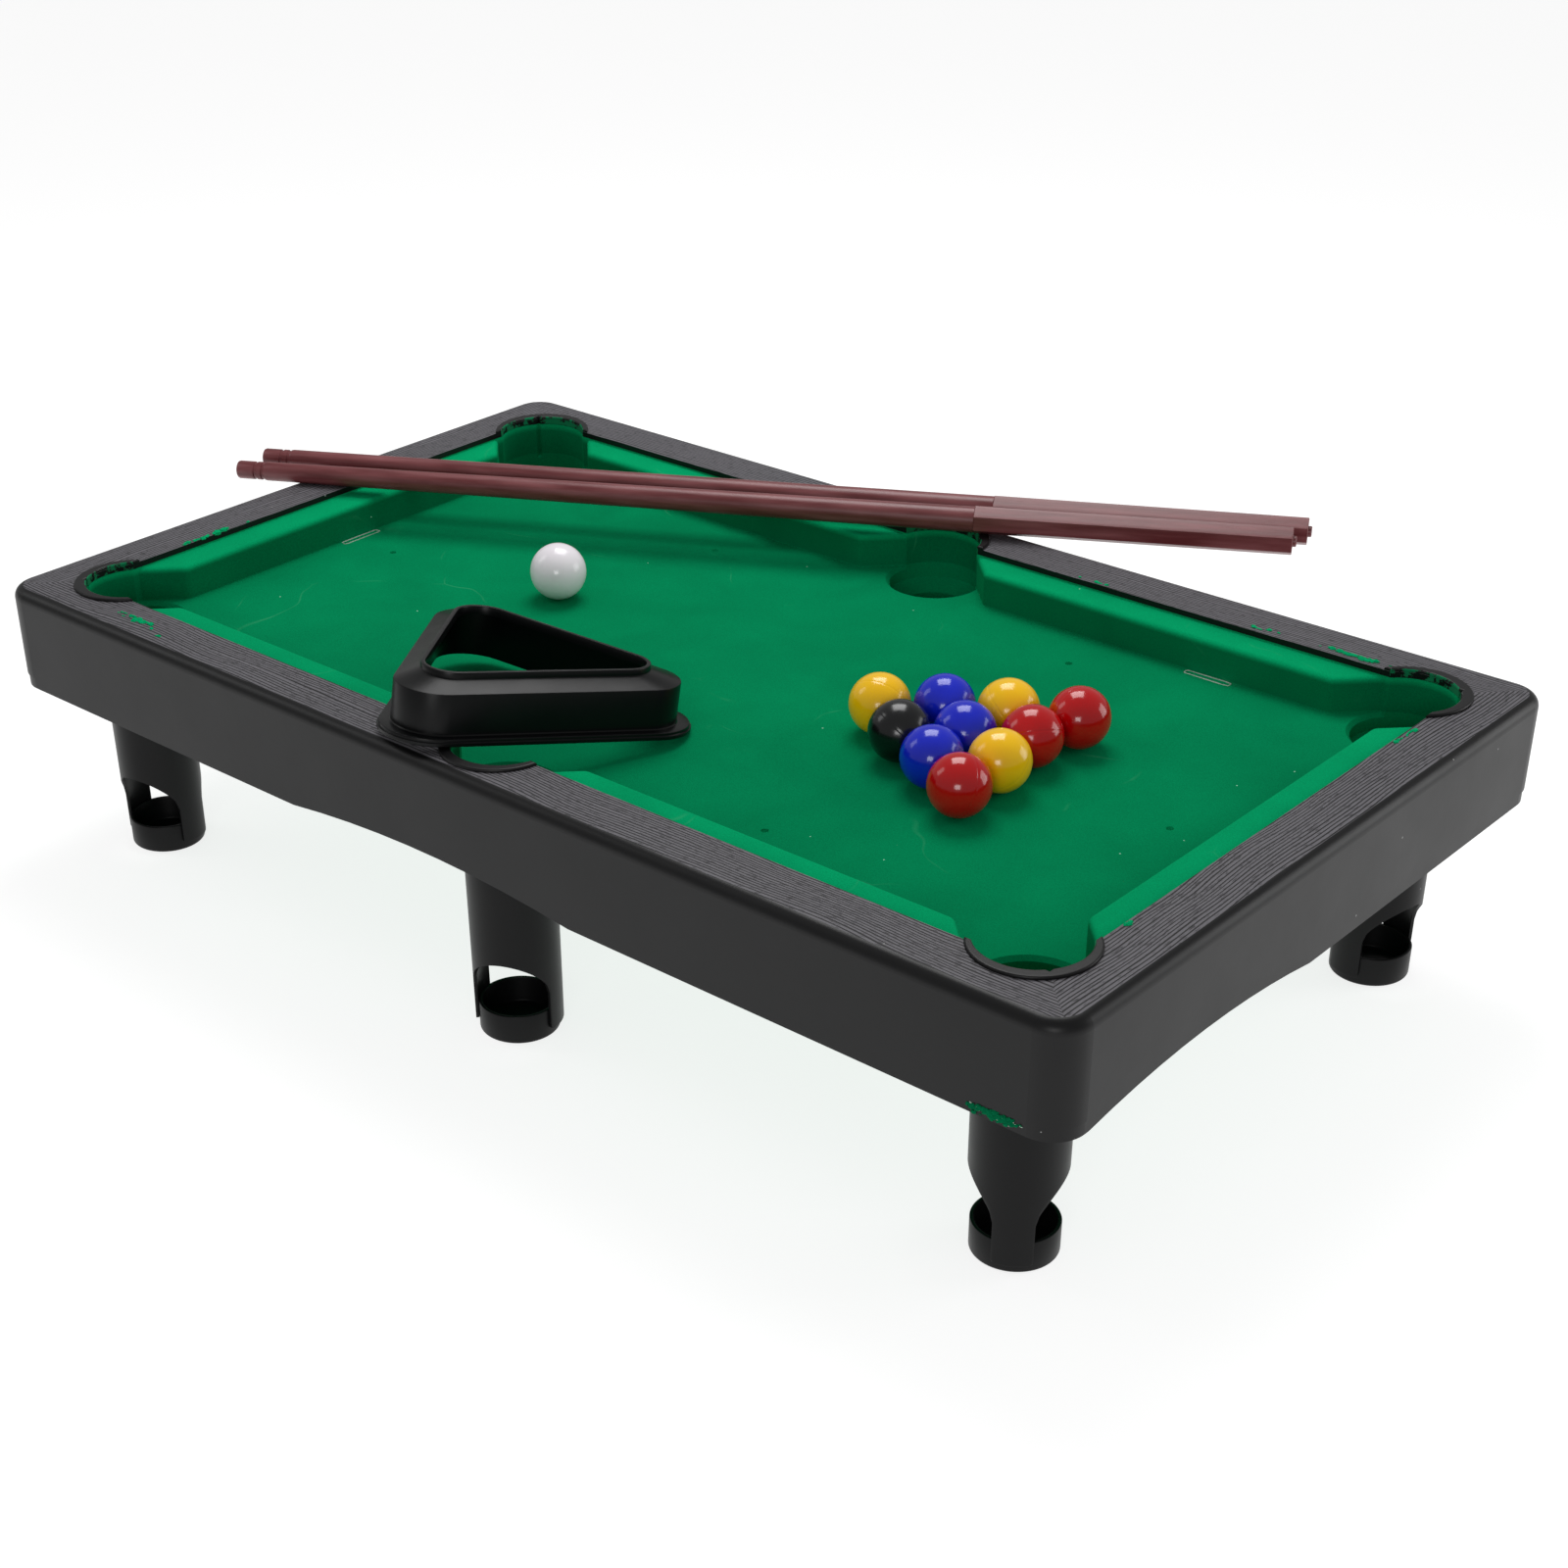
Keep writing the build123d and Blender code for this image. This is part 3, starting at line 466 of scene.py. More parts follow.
RAIL = GrainedPolystyrene("moulded_polystyrene_wood_grain", "#0d0d0e", 0.38)
SATIN = SatinPolystyrene("moulded_polystyrene_satin", "#0a0a0b", 0.38)
RACK = SatinPolystyrene("moulded_polystyrene_rack", "#08090a", 0.3, speck_spacing=23 * MM)
FLOCK = NylonFlock("nylon_flock_green", "#029a62", 0.95)
TUFT = NylonFlock("nylon_flock_loose", "#06a468", 0.95, bed_tone=1.0)
# Painted shade: a darker copy of the loose flock for the crumbs on the upright skirt.
SHADED_SKIRT_TUFT = NylonFlock("nylon_flock_skirt_shaded", "#02603c", 0.95, bed_tone=1.0)
GLUE = SatinPolystyrene("flock_glue_edge", "#9fb5a6", 0.7)
CUE = MouldedPolypropylene("moulded_polypropylene_brown", "#642629", 0.36)
ZINC = ZincPlate("zinc_plated_steel", "#b9bbbd", 0.35)
OPAL = LightTable("opal_light_table", "#a3a3a3", 0.9)
BALLS = {
    "cue": CastResin("cast_resin_white", "#f2ecf2", 0.16, cloud="#f8f4f8"),
    "yellow": CastResin("cast_resin_yellow", "#ffc504", 0.16, cloud="#ffd210"),
    "black": CastResin("cast_resin_black", "#07080a", 0.2, cloud="#101114"),
    "blue": CastResin("cast_resin_blue", "#0c20c4", 0.14, cloud="#1832dc"),
    "red": CastResin("cast_resin_red", "#b80006", 0.13, cloud="#c6000a"),
}


# ---- Hands ----
def select_none() -> None:
    """Leaves nothing selected and no object in edit mode."""
    if bpy.context.object and bpy.context.object.mode != "OBJECT":
        bpy.ops.object.mode_set(mode="OBJECT")
    bpy.ops.object.select_all(action="DESELECT")


def take(obj: bpy.types.Object) -> bpy.types.Object:
    """Selects one object alone and makes it the active one."""
    select_none()
    obj.select_set(True)
    bpy.context.view_layer.objects.active = obj
    return obj


def pick(obj: bpy.types.Object, kind: str, chosen: Callable[[object], bool]) -> int:
    """Selects a mesh's vertices, edges or faces by a rule, and goes into edit mode.

    Args:
        obj: The object to work on.
        kind: VERT, EDGE or FACE.
        chosen: Says of each element whether it is selected.

    Returns:
        How many elements are selected.
    """
    take(obj)
    bpy.ops.object.mode_set(mode="EDIT")
    bpy.ops.mesh.select_mode(type=kind)
    bpy.ops.mesh.select_all(action="DESELECT")
    bpy.ops.object.mode_set(mode="OBJECT")
    mesh = obj.data
    elements = {"VERT": mesh.vertices, "EDGE": mesh.edges, "FACE": mesh.polygons}[kind]
    count = 0
    for element in elements:
        element.select = bool(chosen(element))
        count += element.select
    bpy.ops.object.mode_set(mode="EDIT")
    return count


def edge_ends(obj: bpy.types.Object, edge: bpy.types.MeshEdge) -> tuple[Vector, Vector]:
    """The two end points of an edge."""
    first, second = edge.vertices
    return obj.data.vertices[first].co, obj.data.vertices[second].co


def places(points: Ring) -> KDTree:
    """A tree of points, to find which of them a vertex stands on."""
    tree = KDTree(len(points))
    for number, point in enumerate(points):
        tree.insert(point, number)
    tree.balance()
    return tree


def stands_on(tree: KDTree, point: Vector) -> bool:
    """Whether a point is one of a tree's points."""
    return tree.find(point)[2] < 1e-7


def skin(name: str, rings: list[Ring], ends: Side = Side.CAPPED) -> bpy.types.Object:
    """Models a skin: a circle drawn out ring by ring, each ring shaped to its outline.

    Args:
        name: The new object's name.
        rings: Outlines with the same number of points, in order along the skin.
        ends: Whether the ends stay open, are capped, or the last ring joins the first.

    Returns:
        The new object, with its faces pointing outwards.
    """
    select_none()
    bpy.ops.mesh.primitive_circle_add(vertices=len(rings[0]), radius=1.0)
    obj = bpy.context.object
    obj.name = obj.data.name = name
    for vertex, point in zip(obj.data.vertices, rings[0]):
        vertex.co = point
    pick(obj, "VERT", lambda v: True)
    for before, after in zip(rings, rings[1:]):
        bpy.ops.mesh.extrude_region_move()
        bpy.ops.object.mode_set(mode="OBJECT")
        stood = places(before)
        for vertex in obj.data.vertices:
            if vertex.select:
                vertex.co = after[stood.find(vertex.co)[1]]
        bpy.ops.object.mode_set(mode="EDIT")
    first, last = places(rings[0]), places(rings[-1])
    if ends is Side.CAPPED:
        for end in (first, last):
            pick(obj, "VERT", lambda v: stands_on(end, v.co))
            bpy.ops.mesh.edge_face_add()
    elif ends is Side.JOINED:
        pick(obj, "EDGE", lambda e: all(stands_on(first, p) for p in edge_ends(obj, e))
             or all(stands_on(last, p) for p in edge_ends(obj, e)))
        bpy.ops.mesh.bridge_edge_loops()
    bpy.ops.mesh.select_all(action="SELECT")
    bpy.ops.mesh.normals_make_consistent(inside=False)
    bpy.ops.object.mode_set(mode="OBJECT")
    return obj


def circle(radius: float, height: float, count: int) -> Ring:
    """A level ring of points round the Z axis."""
    turns = [2 * math.pi * i / count for i in range(count)]
    return [(radius * math.cos(a), radius * math.sin(a), height) for a in turns]


def shape(obj: bpy.types.Object, kind: str, **settings: object) -> None:
    """Adds one modifier with its settings and applies it.

    Args:
        obj: The object to change.
        kind: The modifier's type.
        settings: The modifier's attributes.
    """
    take(obj)
    modifier = obj.modifiers.new(kind.lower(), kind)
    for name, value in settings.items():
        setattr(modifier, name, value)
    bpy.ops.object.modifier_apply(modifier=modifier.name)


def soften(obj: bpy.types.Object, width: float, angle: float = 32.0, segments: int = 2) -> None:
    """Rounds an object's sharp edges as a mould does, then shades it smooth."""
    shape(obj, "BEVEL", width=width, segments=segments, limit_method="ANGLE",
          angle_limit=math.radians(angle), use_clamp_overlap=True, harden_normals=False)
    take(obj)
    bpy.ops.object.shade_smooth_by_angle(angle=math.radians(28))


def dress(obj: bpy.types.Object, finish: Finish) -> bpy.types.Object:
    """Gives an object one finish all over."""
    obj.data.materials.clear()
    obj.data.materials.append(finish.build())
    return obj


def dress_node(node: str, finish: Finish) -> None:
    """Gives a carried-over node its finish."""
    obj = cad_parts[node]
    for place in obj.material_slots:
        place.material = finish.build()
    LOG.info("%s: %s", node, finish.name)


def stand_for(obj: bpy.types.Object, node: str, body: str) -> None:
    """Puts a modelled piece in place of a node, on its body."""
    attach(obj, body)
    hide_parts(node)
    LOG.info("%s stands for %s on %s", obj.name, node, body)


def middle_of(node: str) -> Vector:
    """The middle of a node's box."""
    low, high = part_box(node)
    return (low + high) / 2


# ---- The table ----
@dataclass
class RailFrame:
    """The moulded frame with its grained rails."""

    node: str = "rail_frame"

    def build(self) -> None:
        """Dresses the frame."""
        dress_node(self.node, RAIL)


@dataclass
class BedTray:
    """The flocked bed with its pocket wells, the six cushions and the tray's screws."""

    node: str = "bed_tray"
    bed_top: float = 97.1 * MM
    slot_length: float = 19.6 * MM
    slot_width: float = 3.0 * MM
    lip: float = 0.28 * MM
    long_slot: tuple[float, float] = (137.4 * MM, 111.6 * MM)
    short_slot: tuple[float, float] = (216.6 * MM, 3.2 * MM)
    seed: int = 4

    def build(self) -> None:
        """Dresses the tray, cushions and screws, and adds the glue edges round the slots."""
        dress_node(self.node, FLOCK)
        for node in sorted(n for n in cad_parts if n.startswith("cushion_")):
            dress_node(node, FLOCK)
        dress_node("tray_screws", ZINC)
        (long_x, long_y), (short_x, short_y) = self.long_slot, self.short_slot
        slots = [(long_x, long_y, 0), (-long_x, -long_y, 0), (-short_x, short_y, 90),
                 (short_x, -short_y, 90)]
        for number, (x, y, turn) in enumerate(slots, 1):
            self.slot_edge(f"slot_edge_{number}", Matrix.Translation((x, y, 0))
                           @ Matrix.Rotation(math.radians(turn), 4, "Z"))

    def slot_edge(self, name: str, place: Matrix) -> None:
        """A frayed, pale bead of glue round one slot.

        Args:
            name: The piece's name.
            place: Where the slot lies and how it is turned.
        """
        draw = random.Random(self.seed + len(name) + hash_of(name))
        count, section = 44, 6
        half_x, half_y = self.slot_length / 2, self.slot_width / 2
        rings = []
        for i in range(count):
            a = 2 * math.pi * i / count
            # A superellipse: nearly straight sides with rounded ends.
            x = half_x * math.copysign(abs(math.cos(a)) ** 0.22, math.cos(a))
            y = half_y * math.copysign(abs(math.sin(a)) ** 0.4, math.sin(a))
            x += draw.uniform(-0.12, 0.12) * MM
            y += draw.uniform(-0.12, 0.12) * MM
            out = Vector((math.cos(a) / half_x, math.sin(a) / half_y, 0)).normalized()
            thick = self.lip * draw.uniform(0.6, 1.2)
            ring = []
            for j in range(section):
                b = 2 * math.pi * j / section
                ring.append(tuple(Vector((x, y, self.bed_top)) + out * thick * math.cos(b)
                                  + Vector((0, 0, thick * math.sin(b) * 0.7))))
            rings.append(ring)
        bead = skin(name, rings, Side.JOINED)
        bead.data.transform(place)
        dress(bead, GLUE)
        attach(bead, "table")


def hash_of(name: str) -> int:
    """A small number that depends only on a name."""
    return sum(ord(letter) * (i + 1) for i, letter in enumerate(name)) % 1000


@dataclass
class Leg:
    """A push-on leg with two arched windows, which leave two struts, and the ball cup at its foot."""

    place_name: str
    strut_turn: float
    top: float = 86.0 * MM
    strut_bottom: float = 3.5 * MM
    top_radius: float = 16.4 * MM
    foot_radius: float = 16.1 * MM
    wall: float = 1.24 * MM
    window_width: float = 29.2 * MM
    window_spring: float = 19.0 * MM
    corner: float = 1.4 * MM
    cup_radius: float = 14.8 * MM
    cup_height: float = 11.6 * MM
    cup_wall: float = 1.4 * MM
    cup_floor: float = 1.5 * MM
    cup_foot: float = 1.2 * MM
    columns: int = 96
    cup_points: int = 72

    def radius(self, height: float) -> float:
        """The leg's outer radius at a height."""
        share = (height - self.strut_bottom) / (self.top - self.strut_bottom)
        return self.foot_radius + (self.top_radius - self.foot_radius) * share

    def tube(self) -> bpy.types.Object:
        """Draws the tube down to the arches, then the two struts to their rounded feet."""
        half_window = self.window_width / 2
        half_strut = math.acos(half_window / self.foot_radius)
        quarter = self.columns // 4
        on_strut = quarter // 3
        turns = []
        for side in range(4):
            # Columns crowd on each strut's two edges, which lie at half_strut from the strut's middle.
            edge = [half_strut * i / on_strut for i in range(on_strut)]
            rest = quarter - on_strut
            edge += [half_strut + (math.pi / 2 - half_strut) * i / rest for i in range(rest)]
            if side % 2:
                edge = [math.pi / 2 - a for a in reversed([*edge[1:], math.pi / 2])]
            turns += [side * math.pi / 2 + a for a in edge]

        def foot(turn: float) -> float:
            """Height of the tube's lower edge: the arch, or where the struts begin."""
            u = abs(math.cos(turn)) * self.foot_radius
            return self.window_spring + math.sqrt(max(half_window ** 2 - u ** 2, 0.0))

        arch_top = self.window_spring + half_window + 0.5 * MM
        rings = []
        for height in (self.top, (self.top + arch_top) / 2, arch_top):
            rings.append([(self.radius(height) * math.cos(a), self.radius(height) * math.sin(a), height)
                          for a in turns])
        steps = 5
        for step in range(1, steps + 1):
            ring = []
            for a in turns:
                height = arch_top + (foot(a) - arch_top) * step / steps
                ring.append((self.radius(height) * math.cos(a), self.radius(height) * math.sin(a), height))
            rings.append(ring)
        tube = skin(f"leg_{self.place_name}_tube", rings, Side.OPEN)
        spring = self.window_spring + 1e-6
        pick(tube, "EDGE", lambda e: all(p.z < spring for p in edge_ends(tube, e)))
        strut_run = self.window_spring - self.strut_bottom
        for share in (0.5, 1 - self.corner / strut_run, 1 - self.corner / strut_run / 3, 1.0):
            bpy.ops.mesh.extrude_region_move()
            bpy.ops.object.mode_set(mode="OBJECT")
            low = self.window_spring - strut_run * share
            drop = max(share * strut_run - (strut_run - self.corner), 0.0)
            pull = self.corner - math.sqrt(max(self.corner ** 2 - drop ** 2, 0.0))
            for vertex in tube.data.vertices:
                if vertex.select:
                    a = math.atan2(vertex.co.y, abs(vertex.co.x))
                    kept = 1 - pull / (half_strut * self.foot_radius)
                    if share < 1.0 and drop == 0.0:
                        kept = 1.0
                    side = math.copysign(1.0, vertex.co.x)
                    a = math.copysign(min(abs(a), half_strut * kept), a)
                    radius = self.radius(low)
                    vertex.co = (side * radius * math.cos(a), radius * math.sin(a), low)
            bpy.ops.object.mode_set(mode="EDIT")
        bpy.ops.object.mode_set(mode="OBJECT")
        shape(tube, "SOLIDIFY", thickness=self.wall, offset=-1.0, use_even_offset=True)
        shape(tube, "WELD", merge_threshold=0.01 * MM)
        soften(tube, 0.22 * MM, angle=40)
        return tube

    def cup(self) -> bpy.types.Object:
        """Turns the cup: rounded foot, straight wall, softened rim and a flat floor."""
        inner = self.cup_radius - self.cup_wall
        bend = 6
        outline = [(0.25 * self.cup_radius, 0.0), (self.cup_radius - self.cup_foot, 0.0)]
        for i in range(1, bend + 1):
            a = math.pi / 2 * i / bend
            outline.append((self.cup_radius - self.cup_foot * (1 - math.sin(a)),
                            self.cup_foot * (1 - math.cos(a))))
        rim = 0.4 * MM
        outline += [(self.cup_radius, self.cup_height - rim),
                    (self.cup_radius - rim * 0.3, self.cup_height - rim * 0.3),
                    (self.cup_radius - rim, self.cup_height), (inner + rim, self.cup_height),
                    (inner + rim * 0.3, self.cup_height - rim * 0.3), (inner, self.cup_height - rim),
                    (inner, self.cup_floor + 0.8 * MM), (inner - 0.25 * MM, self.cup_floor + 0.25 * MM),
                    (inner - 0.8 * MM, self.cup_floor), (0.25 * self.cup_radius, self.cup_floor)]
        cup = skin(f"cup_{self.place_name}_shell", [circle(r, z, self.cup_points) for r, z in outline])
        take(cup)
        bpy.ops.object.shade_smooth_by_angle(angle=math.radians(35))
        return cup

    def build(self) -> None:
        """Models the leg and cup and puts them in place of their nodes."""
        leg_node, cup_node = f"leg_{self.place_name}", f"cup_{self.place_name}"
        centre = middle_of(cup_node)
        place = Matrix.Translation((centre.x, centre.y, 0))
        tube, cup = self.tube(), self.cup()
        tube.data.transform(place @ Matrix.Rotation(math.radians(self.strut_turn), 4, "Z"))
        cup.data.transform(place @ Matrix.Rotation(math.radians(self.strut_turn + 40), 4, "Z"))
        stand_for(dress(tube, SATIN), leg_node, "table")
        stand_for(dress(cup, SATIN), cup_node, "table")


# ---- Loose pieces ----
@dataclass
class Ball:
    """A ball moulded in two halves, with a fine seam groove and a gate mark."""

    node: str
    finish: Finish
    slot: str
    tilt: tuple[float, float, float]
    seam: float = 0.16 * MM
    seam_depth: float = 0.11 * MM
    gate: float = 4.5
    segments: int = 72
    ring_count: int = 48

    def build(self) -> None:
        """Models the ball at its node's place."""
        low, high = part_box(self.node)
        radius = (high.z - low.z) / 2
        select_none()
        bpy.ops.mesh.primitive_uv_sphere_add(segments=self.segments, ring_count=self.ring_count,
                                             radius=radius)
        ball = bpy.context.object
        ball.name = ball.data.name = f"{self.node}_shell"
        flat = 1e-6
        pick(ball, "EDGE", lambda e: all(abs(p.z) < flat for p in edge_ends(ball, e)))
        bpy.ops.mesh.bevel(offset=self.seam * 2, segments=2, profile=0.5)
        bpy.ops.object.mode_set(mode="OBJECT")
        pick(ball, "EDGE", lambda e: all(abs(p.z) < self.seam * 0.5 for p in edge_ends(ball, e)))
        sunk = 1 - self.seam_depth / radius
        bpy.ops.transform.resize(value=(sunk, sunk, 1.0), center_override=(0, 0, 0))
        cap = radius * math.cos(math.radians(self.gate))
        pick(ball, "VERT", lambda v: v.co.z > cap)
        bpy.ops.transform.resize(value=(1.0, 1.0, 0.9985), center_override=(0, 0, 0))
        bpy.ops.object.mode_set(mode="OBJECT")
        turn = [Matrix.Rotation(math.radians(a), 4, axis) for a, axis in zip(self.tilt, "XYZ")]
        ball.data.transform(Matrix.Translation((low + high) / 2) @ turn[2] @ turn[1] @ turn[0])
        take(ball)
        bpy.ops.object.shade_smooth_by_angle(angle=math.radians(60))
        stand_for(dress(ball, self.finish), self.node, self.node)


@dataclass
class Cue:
    """A moulded cue: grooved tip, tapered round shaft, six-sided butt and end nub."""

    node: str
    length: float = 450 * MM
    shaft: float = 321.3 * MM
    tip_radius: float = 3.8 * MM
    thin: float = 4.0 * MM
    thick: float = 5.2 * MM
    flats: float = 10.2 * MM
    nub_radius: float = 2.2 * MM
    nub: float = 1.5 * MM
    grooves: tuple[float, ...] = (8 * MM, 11.4 * MM)
    groove_width: float = 1.2 * MM
    groove_depth: float = 0.45 * MM
    ring: int = 48

    def ends(self) -> tuple[Vector, Vector]:
        """Finds the cue's tip and butt ends from its node.

        Returns:
            The middles of the tip's and the nub's end faces.
        """
        points = [v.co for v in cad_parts[self.node].data.vertices]
        low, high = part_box(self.node)
        way = (high - low).normalized()
        for _ in range(4):
            along = [p.dot(way) for p in points]
            first, last = min(along), max(along)
            tip = sum((p for p, a in zip(points, along) if a < first + 0.1 * MM), Vector())
            tip /= sum(a < first + 0.1 * MM for a in along)
            butt = sum((p for p, a in zip(points, along) if a > last - 0.1 * MM), Vector())
            butt /= sum(a > last - 0.1 * MM for a in along)
            way = (butt - tip).normalized()
        return tip, butt

    def profile(self) -> list[tuple[float, float]]:
        """Distance from the tip and radius, along the round shaft."""
        rows = [(0.0, self.tip_radius - 1.2 * MM), (0.15 * MM, self.tip_radius - 0.65 * MM),
                (0.45 * MM, self.tip_radius - 0.25 * MM), (1.1 * MM, self.tip_radius)]
        soft = 0.18 * MM
        for start in self.grooves:
            end = start + self.groove_width
            floor = self.tip_radius - self.groove_depth
            rows += [(start - soft, self.tip_radius), (start, self.tip_radius - soft), (start + soft, floor),
                     (end - soft, floor), (end, self.tip_radius - soft), (end + soft, self.tip_radius)]
        last = rows[-1][0] + 0.8 * MM
        rows.append((last, self.thin))
        steps = 8
        for step in range(1, steps + 1):
            share = step / steps
            rows.append((last + (self.shaft - last) * share, self.thin + (self.thick - self.thin) * share))
        return rows

    def round_ring(self, along: float, radius: float) -> Ring:
        """A round section of the cue at a distance from its tip."""
        turns = [2 * math.pi * i / self.ring for i in range(self.ring)]
        return [(along, radius * math.cos(a), radius * math.sin(a)) for a in turns]

    def hexagon(self, across: float, corner: float = 0.5 * MM) -> list[tuple[float, float]]:
        """Points round a six-sided section with softened corners, as many as in the round one.

        Args:
            across: Distance across the flats.
            corner: Radius of the corners.

        Returns:
            Points by turn, starting on the first axis.
        """
        apothem = across / 2
        points = []
        for i in range(self.ring):
            turn = 2 * math.pi * i / self.ring
            sector = math.radians(60) * round(turn / math.radians(60))
            off = turn - sector
            reach = apothem / math.cos(off)
            # Near a corner the outline follows a circle of the corner's radius.
            corner_reach = (apothem - corner) / math.cos(math.radians(30)) + corner
            reach = min(reach, corner_reach)
            points.append((reach * math.cos(turn), reach * math.sin(turn)))
        return points

    def build(self) -> None:
        """Models the cue and lays it along its node's axis."""
        rings = [self.round_ring(d, r) for d, r in self.profile()]
        step = 0.25 * MM
        butt_end = self.length - self.nub
        for d, across in ((self.shaft + 0.02 * MM, self.flats - 2 * step), (self.shaft + step, self.flats),
                          ((self.shaft + butt_end) / 2, self.flats), (butt_end - step, self.flats),
                          (butt_end, self.flats - 2 * step)):
            rings.append([(d, a, b) for a, b in self.hexagon(across)])
        for d, r in ((butt_end + 0.01 * MM, self.nub_radius), (self.length - 0.3 * MM, self.nub_radius),
                     (self.length, self.nub_radius - 0.3 * MM)):
            rings.append(self.round_ring(d, r))
        cue = skin(f"{self.node}_stick", rings)
        tip, butt = self.ends()
        way = butt - tip
        flat_turn = math.atan2(way.y, way.x)
        climb = math.atan2(way.z, math.hypot(way.x, way.y))
        cue.data.transform(Matrix.Translation(tip) @ Matrix.Rotation(flat_turn, 4, "Z")
                           @ Matrix.Rotation(-climb, 4, "Y"))
        take(cue)
        bpy.ops.object.shade_smooth_by_angle(angle=math.radians(24))
        stand_for(dress(cue, CUE), self.node, self.node)


@dataclass
class Rack:
    """The hollow triangle rack, tipped over the front rail."""

    node: str = "rack"
    wall: float = 1.7 * MM
    flange: tuple[float, float] = (41.6 * MM, 18.3 * MM)
    step: float = 0.7 * MM
    body: tuple[float, float] = (37.4 * MM, 15.4 * MM)
    lip: tuple[float, float] = (29.5 * MM, 11.1 * MM)
    flange_heights: tuple[float, float] = (1.4 * MM, 2.6 * MM)
    shoulder: float = 17.4 * MM
    lip_foot: float = 20.2 * MM
    height: float = 22.6 * MM
    turn: float = 66.4
    tip_direction: float = -7.2
    corner_points: int = 13
    side_points: int = 5

    def outline(self, size: tuple[float, float], grow: float, height: float) -> Ring:
        """A rounded triangle at a height.

        Args:
            size: Distance from the middle to a side, and corner radius.
            grow: How far the outline is moved outwards.
            height: Its height.

        Returns:
            The ring of points, with the same turns for every size.
        """
        side, corner = size[0] + grow, size[1] + grow
        reach = 2 * (side - corner)
        arcs = []
        for middle in (90, 210, 330):
            a = math.radians(middle)
            centre = Vector((reach * math.cos(a), reach * math.sin(a)))
            for i in range(self.corner_points):
                b = math.radians(middle - 60 + 120 * i / (self.corner_points - 1))
                arcs.append(centre + corner * Vector((math.cos(b), math.sin(b))))
        points = []
        for i, point in enumerate(arcs):
            points.append(point)
            if i % self.corner_points == self.corner_points - 1:
                after = arcs[(i + 1) % len(arcs)]
                points += [point.lerp(after, j / (self.side_points + 1))
                           for j in range(1, self.side_points + 1)]
        return [(p.x, p.y, height) for p in points]

    def build(self) -> None:
        """Draws the rack from its foot over the lip and down inside, then tips it into place."""
        soft = 0.35 * MM
        low, high = self.flange_heights
        slope = self.wall * 0.5
        rows = [
            (self.flange, -soft, 0.0), (self.flange, 0.0, soft), (self.flange, 0.0, low - 0.1 * MM),
            (self.flange, -0.1 * MM, low), (self.flange, -self.step + 0.1 * MM, low),
            (self.flange, -self.step, low + 0.15 * MM), (self.flange, -self.step, high - soft),
            (self.flange, -self.step - 0.3 * soft, high - 0.3 * soft),
            (self.flange, -self.step - soft, high),
            (self.body, soft, high), (self.body, 0.0, high + soft), (self.body, 0.0, self.shoulder - soft),
            (self.body, -0.4 * soft, self.shoulder + 0.1 * soft),
            (self.body, -1.4 * soft, self.shoulder + 0.55 * soft),
            (self.lip, 0.6 * soft, self.lip_foot - 0.2 * soft), (self.lip, 0.0, self.lip_foot + 0.3 * soft),
            (self.lip, 0.0, self.height - soft), (self.lip, -0.35 * soft, self.height - 0.3 * soft),
            (self.lip, -soft, self.height), (self.lip, -self.wall + soft, self.height),
            (self.lip, -self.wall + 0.35 * soft, self.height - 0.3 * soft),
            (self.lip, -self.wall, self.height - soft),
            (self.lip, -self.wall, self.lip_foot - slope), (self.body, -self.wall, self.shoulder - slope),
            (self.body, -self.wall, soft), (self.body, -self.wall + soft, 0.0),
        ]
        rack = skin("rack_shell", [self.outline(*row) for row in rows], Side.JOINED)
        points = [v.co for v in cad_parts[self.node].data.vertices]
        direction = math.radians(self.tip_direction)
        level = Vector((math.cos(direction), math.sin(direction), 0))
        upright = Matrix.Rotation(math.radians(self.turn), 4, "Z")
        tip = self.tip_angle(points, level)
        lean = Matrix.Rotation(-tip, 4, level) @ upright
        rack.data.transform(lean)
        corner = [max(v.co[i] for v in rack.data.vertices) for i in range(3)]
        low_corner = [min(v.co[i] for v in rack.data.vertices) for i in range(3)]
        box_low, box_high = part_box(self.node)
        shift = [(box_low[i] + box_high[i] - low_corner[i] - corner[i]) / 2 for i in range(3)]
        rack.data.transform(Matrix.Translation(shift))
        take(rack)
        bpy.ops.object.shade_smooth_by_angle(angle=math.radians(30))
        stand_for(dress(rack, RACK), self.node, "rack")

    def tip_angle(self, points: list[Vector], level: Vector) -> float:
        """How far the rack is tipped, from its node's points.

        Args:
            points: The node's points.
            level: The level direction that it tips about.

        Returns:
            The angle in radians.
        """
        square = Vector((-level.y, level.x, 0))

        def depth(angle: float) -> float:
            """The node's thickness square to a plane tipped by an angle."""
            normal = Vector((0, 0, 1)) * math.cos(angle) + square * math.sin(angle)
            along = [p.dot(normal) for p in points]
            return max(along) - min(along)

        low, high = math.radians(-2), math.radians(25)
        for _ in range(30):
            third = (high - low) / 3
            if depth(low + third) < depth(high - third):
                high -= third
            else:
                low += third
        return (low + high) / 2


